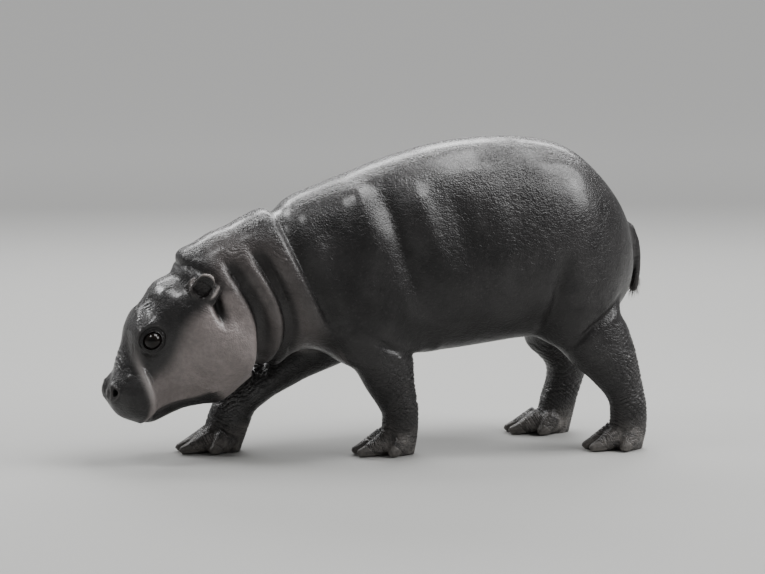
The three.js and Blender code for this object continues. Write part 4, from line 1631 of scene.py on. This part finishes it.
@dataclass(frozen=True)
class HideFinish:
    """Damp, slate-dark hide with paler cheeks, fine pebbles and a net of wrinkles.

    Attributes:
        dark: the two tones of the dark parts.
        pale: the two tones of the cheeks and jowls.
        underside_shade: painted shade, the tone underneath, darker than the hide above it.
        ear: the tone inside the ears.
        dust_and_foot_highlight: the tone of dry mud on the feet, also painted paler as a highlight on them.
        pebble: the width of the skin's pebbles, in millimetres.
    """

    dark: tuple[Colour, Colour] = ((0.011, 0.0102, 0.0105), (0.024, 0.0222, 0.0225))
    pale: tuple[Colour, Colour] = ((0.175, 0.152, 0.147), (0.270, 0.235, 0.226))
    underside_shade: Colour = (0.0105, 0.0095, 0.0095)
    ear: Colour = (0.022, 0.019, 0.0185)
    dust_and_foot_highlight: Colour = (0.215, 0.198, 0.184)
    pebble: float = 2.3

    def build(self) -> bpy.types.Material:
        """Makes the material."""
        g = Graph("damp_hide")
        pale, hollow, raised = g.mask("pale"), g.mask("hollow"), g.mask("raised")
        top, under, feet, ear = g.mask("top"), g.mask("under"), g.mask("feet"), g.mask("ear_cup")
        broad = g.noise(85, 3.0, 0.55, warp=0.4)
        fine = g.noise(7, 4.0, 0.6)
        speck = g.cells(9.0, "F1")
        # Colours: dark hide, then its markings and dust, painted shade underneath, in creases, folds and
        # nostrils, paler ridges, and painted highlights on the ears' edges and the lip's edge.
        dark = g.mix((0.65 * broad + 0.35 * fine).step(0.36, 0.66), *self.dark)
        light = g.mix((0.6 * broad + 0.4 * fine).step(0.35, 0.65), *self.pale)
        patchy = pale + (broad - 0.5) * 0.34 * pale * (1 - pale) * 4
        colour = g.mix(patchy.clipped(), dark, light)
        # Painted shade: the underside, facing down, is darkened.
        colour = g.mix((under * 0.85 * (1 - pale)).clipped(), colour, self.underside_shade)
        colour = g.mix(ear, colour, self.ear)
        # Dry dust on the feet, patchy, also painted paler as a highlight on them.
        dust_and_highlight_patches = g.noise(16, 5.0, 0.65, warp=0.5)
        colour = g.mix((feet * dust_and_highlight_patches.step(0.25, 0.75) * 0.8).clipped(), colour, self.dust_and_foot_highlight)
        spots = (1 - speck).step(0.72, 0.92) * (1 - pale) * 0.25
        colour = g.mix(spots, colour, (0.060, 0.056, 0.055))
        # Painted shade: creases and the valleys of the big folds are darkened.
        colour = g.mix((hollow * 0.6).clipped(), colour, (0.010, 0.009, 0.009))
        colour = g.mix(g.mask("shade") * 0.85, colour, (0.009, 0.008, 0.008))
        colour = g.mix((raised * 0.12).clipped(), colour, (0.30, 0.27, 0.26), "SCREEN")
        # Painted highlight along the ears' thin edge.
        colour = g.mix(g.mask("ear_rim") * 0.85, colour, (0.42, 0.38, 0.365))
        # Painted highlight along the lip's rear edge.
        lip_ridge = g.mask("lip_ridge")
        colour = g.mix((lip_ridge * 0.8).clipped(), colour, (0.40, 0.37, 0.36))
        colour = g.mix(g.mask("eyelid") * 0.9, colour, (0.008, 0.007, 0.007))
        # Painted shade inside the nostril pits.
        colour = g.mix(g.mask("nostril"), colour, (0.004, 0.0035, 0.0035))
        # Relief: pebbles over a net of fine wrinkles, strongest on the back.
        warped = self._warped(g)
        pebbles = 1 - g.cells(self.pebble, "SMOOTH_F1", warped)
        net = g.cells(11.0, "DISTANCE_TO_EDGE", self._warped(g, (1.0, 1.0, 0.55), 0.006)).step(0.0, 0.10)
        hatch = g.cells(6.5, "DISTANCE_TO_EDGE", self._warped(g, (0.55, 1.0, 1.15), 0.004)).step(0.0, 0.14)
        grain = g.noise(0.9, 3.0, 0.6)
        damp = g.mask("damp")
        strength = 0.5 + top * 0.55 + damp * 0.3
        calm = 1 - pale * 0.65
        creased = hatch * (calm * 0.18 + g.mask("legs") * 0.5)
        relief = pebbles * strength * 0.9 + net * calm * 0.10 + creased + grain * 0.2
        undulation = g.noise(14, 3.0, 0.5, warp=0.6)
        normal = g.bump(undulation, 2.6, 0.6)
        normal = g.bump(relief, 1.15, 1.0, under=normal)
        # Gloss: damp on the back and muzzle, drier underneath and on the feet.
        wet = ((0.5 + top * 0.5) * (1 - feet * 0.5) * (1 - under * 0.6) + damp * 0.6).clipped()
        rough = 0.46 - wet * 0.18 + (fine - 0.5) * 0.16 + pale * 0.06 + feet * 0.06
        slick = damp * 0.6 + lip_ridge * 0.5 + g.mask("eyelid") * 0.1
        coat = (wet * 0.55 * broad.step(0.3, 0.62) + slick).clipped()
        g.set(Coat_Roughness=0.2, Specular_IOR_Level=0.34)
        return g.set(Base_Color=colour, Roughness=rough.clipped(), Coat_Weight=coat, Normal=normal)

    def _warped(
        self, g: Graph, scale: Sequence[float] = (1, 1, 1), pull: float = 0.0015
    ) -> bpy.types.NodeSocket:
        """Gives a stretched place that is pulled about a little."""
        settings = {"noise_dimensions": "3D"}
        cloud = g.add("TexNoise", settings, {"Vector": g.place(), "Scale": 45.0, "Detail": 2.0})
        centred = g.add("VectorMath", {"operation": "SUBTRACT"}, {0: cloud.outputs["Color"], 1: (0.5,) * 3})
        moved = g.add("VectorMath", {"operation": "SCALE"}, {0: centred.outputs[0], "Scale": 4 * pull})
        whole = g.add("VectorMath", {"operation": "ADD"}, {0: g.stretched(scale), 1: moved.outputs[0]})
        return whole.outputs[0]


@dataclass(frozen=True)
class NailFinish:
    """Dull horn, paler and scuffed at the tip.

    Attributes:
        horn: the two tones of the horn.
        tip: the tone of its worn edge.
    """

    horn: tuple[Colour, Colour] = ((0.060, 0.055, 0.051), (0.125, 0.115, 0.106))
    tip: Colour = (0.23, 0.215, 0.198)

    def build(self) -> bpy.types.Material:
        """Makes the material."""
        g = Graph("nail_horn")
        worn = g.mask("worn")
        streak = g.noise(2.6, 4.0, 0.6, where=g.stretched((0.35, 1.6, 1.0)))
        stain = g.noise(9, 3.0, 0.6)
        colour = g.mix((0.6 * streak + 0.4 * stain).step(0.32, 0.68), *self.horn)
        colour = g.mix((worn * stain.step(0.2, 0.75) * 0.8).clipped(), colour, self.tip)
        scratches = g.noise(0.8, 4.0, 0.7, where=g.stretched((0.3, 2.0, 1.0)))
        normal = g.bump(0.6 * streak + 0.4 * scratches, 0.30, 0.8)
        rough = 0.42 + 0.18 * stain + 0.12 * worn
        return g.set(Base_Color=colour, Roughness=rough, Normal=normal)


@dataclass(frozen=True)
class EyeFinish:
    """A wet, dark brown eye.

    Attributes:
        iris: the two browns of the iris.
        white: the tone of the ball outside it.
        iris_size: half the iris's width, in millimetres.
        pupil: half the pupil's width and height.
    """

    iris: tuple[Colour, Colour] = ((0.0022, 0.0015, 0.0012), (0.0085, 0.0050, 0.0034))
    white: Colour = (0.007, 0.0055, 0.005)
    iris_size: float = 11.4
    pupil: tuple[float, float] = (5.6, 4.2)

    def build(self) -> bpy.types.Material:
        """Makes the material."""
        g = Graph("wet_eye")
        level, height = g.mask("level"), g.mask("height")
        far = (level * level + height * height) ** 0.5
        turn = Value(g, g.add("Math", {"operation": "ARCTAN2"}, {0: height, 1: level}).outputs[0])
        spokes = g.add("CombineXYZ", sockets={0: turn * 9.0, 1: far * 0.09, 2: 0.0}).outputs[0]
        fibre = Value(g, g.add("TexNoise", sockets={
            "Vector": spokes, "Scale": 2.4, "Detail": 4.0, "Roughness": 0.65}).outputs[0])
        iris = g.mix((fibre * 1.5 - 0.25).clipped(), *self.iris)
        ring = (far / self.iris_size).step(0.80, 1.0)
        iris = g.mix(ring * 0.8, iris, (0.003, 0.002, 0.002))
        wide, tall = self.pupil
        slit = ((level / wide) ** 2.0 + (height / tall) ** 2.0) ** 0.5
        colour = g.mix(slit.step(0.90, 1.08), (0.0015, 0.0012, 0.001), iris)
        veins = g.noise(3.0, 4.0, 0.7, warp=1.5).step(0.52, 0.62)
        white = g.mix(veins * 0.5, self.white, (0.024, 0.011, 0.010))
        colour = g.mix((far / self.iris_size).step(0.99, 1.08), colour, white)
        g.set(Specular_IOR_Level=0.34, IOR=1.45)
        return g.set(Base_Color=colour, Roughness=0.04)


@dataclass(frozen=True)
class BristleFinish:
    """Dark, slightly shiny hair.

    Attributes:
        tones: its two tones.
    """

    tones: tuple[Colour, Colour] = ((0.030, 0.026, 0.024), (0.085, 0.075, 0.068))

    def build(self) -> bpy.types.Material:
        """Makes the material."""
        g = Graph("bristle")
        return g.set(Base_Color=g.mix(g.noise(12, 2.0), *self.tones), Roughness=0.45)



# ------------------------------------------------------------------ studio


@dataclass(frozen=True)
class Lamp:
    """A soft rectangular light.

    Attributes:
        name: its name.
        place: where it stands, in metres from the animal's middle.
        size: its width and height, in metres.
        power: its strength, in watts.
        tint: its colour.
    """

    name: str
    place: tuple[float, float, float]
    size: tuple[float, float]
    power: float
    tint: Colour = (1.0, 1.0, 1.0)

    def build(self, target: Vector) -> None:
        """Sets the lamp up, aimed at the target."""
        data = bpy.data.lights.new(self.name, "AREA")
        data.shape = "RECTANGLE"
        data.size, data.size_y = self.size
        data.energy = self.power
        data.color = self.tint
        lamp = bpy.data.objects.new(self.name, data)
        lamp.location = target + Vector(self.place)
        lamp.rotation_euler = (-Vector(self.place)).to_track_quat("-Z", "Y").to_euler()
        bpy.context.scene.collection.objects.link(lamp)


@dataclass
class Studio:
    """The camera, the lights and the plain floor.

    Attributes:
        azimuth: how far the camera stands round from the left side, in degrees.
        elevation: how high it looks down from, in degrees.
        distance: how far off it stands, in metres.
        lens: its focal length, in millimetres on a 36 mm sensor.
        target: what it looks at, in metres from the middle of the animal's footprint.
        lamps: the soft lamps.
        sky: where the even light comes from.
        sky_strength: how strong it is.
        sky_spread: how wide it is, in degrees.
        air_strength: how strong the light from all round is.
        floor_reach: half the floor's width, in metres.
    """

    azimuth: float = -15.0
    elevation: float = 7.5
    distance: float = 4.5
    lens: float = 132.35
    target: tuple[float, float, float] = (0.0165, 0.033, 0.258)
    lamps: tuple[Lamp, ...] = (
        Lamp("rim_strip", (0.5, 2.5, 1.7), (3.6, 0.7), 76.0),
        Lamp("top_softbox", (0.6, 0.0, 2.3), (1.7, 1.1), 58.0),
        Lamp("key_softbox", (2.2, -1.3, 1.8), (1.1, 1.1), 38.0),
        Lamp("brow_strip", (-1.75, 1.5, 1.5), (1.0, 0.5), 18.0),
        Lamp("face_softbox", (-1.35, -0.25, 1.9), (0.6, 0.6), 15.0),
    )
    sky: tuple[float, float, float] = (0.85, -0.15, 1.0)
    sky_strength: float = 1.7
    sky_spread: float = 28.0
    air_strength: float = 0.24
    floor_reach: float = 60.0

    def build(self) -> None:
        """Sets everything up round the object."""
        low, high = (Vector(corner) for corner in CAD_BOX)
        middle = (low + high) / 2
        self._camera(Vector((middle.x, middle.y, 0.0)) + Vector(self.target))
        for lamp in self.lamps:
            lamp.build(middle)
        self._sky()
        self._floor(low.z)
        world = bpy.data.worlds.new("studio_air")
        world.use_nodes = True
        air = world.node_tree.nodes["Background"]
        air.inputs["Color"].default_value = (1.0, 1.0, 1.0, 1.0)
        air.inputs["Strength"].default_value = self.air_strength
        bpy.context.scene.world = world

    def _sky(self) -> None:
        """Sets up the soft light that falls evenly on the whole floor."""
        data = bpy.data.lights.new("even_light", "SUN")
        data.energy, data.angle = self.sky_strength, math.radians(self.sky_spread)
        sky = bpy.data.objects.new("even_light", data)
        sky.rotation_euler = (-Vector(self.sky)).to_track_quat("-Z", "Y").to_euler()
        bpy.context.scene.collection.objects.link(sky)

    def _camera(self, target: Vector) -> None:
        """Sets up the camera, looking at the target."""
        turn, rise = math.radians(self.azimuth), math.radians(self.elevation)
        back = Vector((math.sin(turn) * math.cos(rise), -math.cos(turn) * math.cos(rise), math.sin(rise)))
        data = bpy.data.cameras.new("camera")
        data.lens, data.sensor_width = self.lens, 36.0
        camera = bpy.data.objects.new("camera", data)
        camera.location = target + back * self.distance
        camera.rotation_euler = (-back).to_track_quat("-Z", "Y").to_euler()
        bpy.context.scene.collection.objects.link(camera)
        bpy.context.scene.camera = camera

    def _floor(self, level: float) -> None:
        """Lays the floor under the soles."""
        reach = self.floor_reach
        corners = [(x * reach, y * reach, level) for x, y in ((-1, -1), (1, -1), (1, 1), (-1, 1))]
        mesh = bpy.data.meshes.new("floor")
        mesh.from_pydata(corners, [], [(0, 1, 2, 3)])
        floor = bpy.data.objects.new("floor", mesh)
        bpy.context.scene.collection.objects.link(floor)
        graph = Graph("plain_floor")
        # It grows paler with distance, so that it looks even under lamps that stand near.
        reached = graph.add("VectorMath", {"operation": "LENGTH"}, {0: graph.place()})
        far = Value(graph, reached.outputs["Value"])
        colour = graph.mix((far / 6.0).step(0.2, 1.0), (0.38, 0.38, 0.37), (0.74, 0.74, 0.73))
        mesh.materials.append(graph.set(Base_Color=colour, Roughness=0.75))


# ------------------------------------------------------------------ everything in order


def main() -> None:
    """Builds every piece in order."""
    skin = Skin()
    hide = skin.build()
    hide.data.materials.append(HideFinish().build())
    LOG.info("hide: %d faces", len(hide.data.polygons))
    horn = NailFinish().build()
    for name in HOOF_NODES:
        nail = HoofPiece(name).build()
        nail.data.materials.append(horn)
    LOG.info("nails: %d pieces", len(HOOF_NODES))
    gloss = EyeFinish().build()
    for lids in skin.lids:
        eye = EyePiece(lids).build()
        eye.data.materials.append(gloss)
    LOG.info("eyes: 2 pieces")
    bristles = Bristles(skin).build()
    bristles.data.materials.append(BristleFinish().build())
    LOG.info("bristles: %d faces", len(bristles.data.polygons))
    Studio().build()


if __name__ == "__main__":
    logging.basicConfig(level=logging.INFO, format="%(relativeCreated)6d ms %(name)s: %(message)s")
    main()
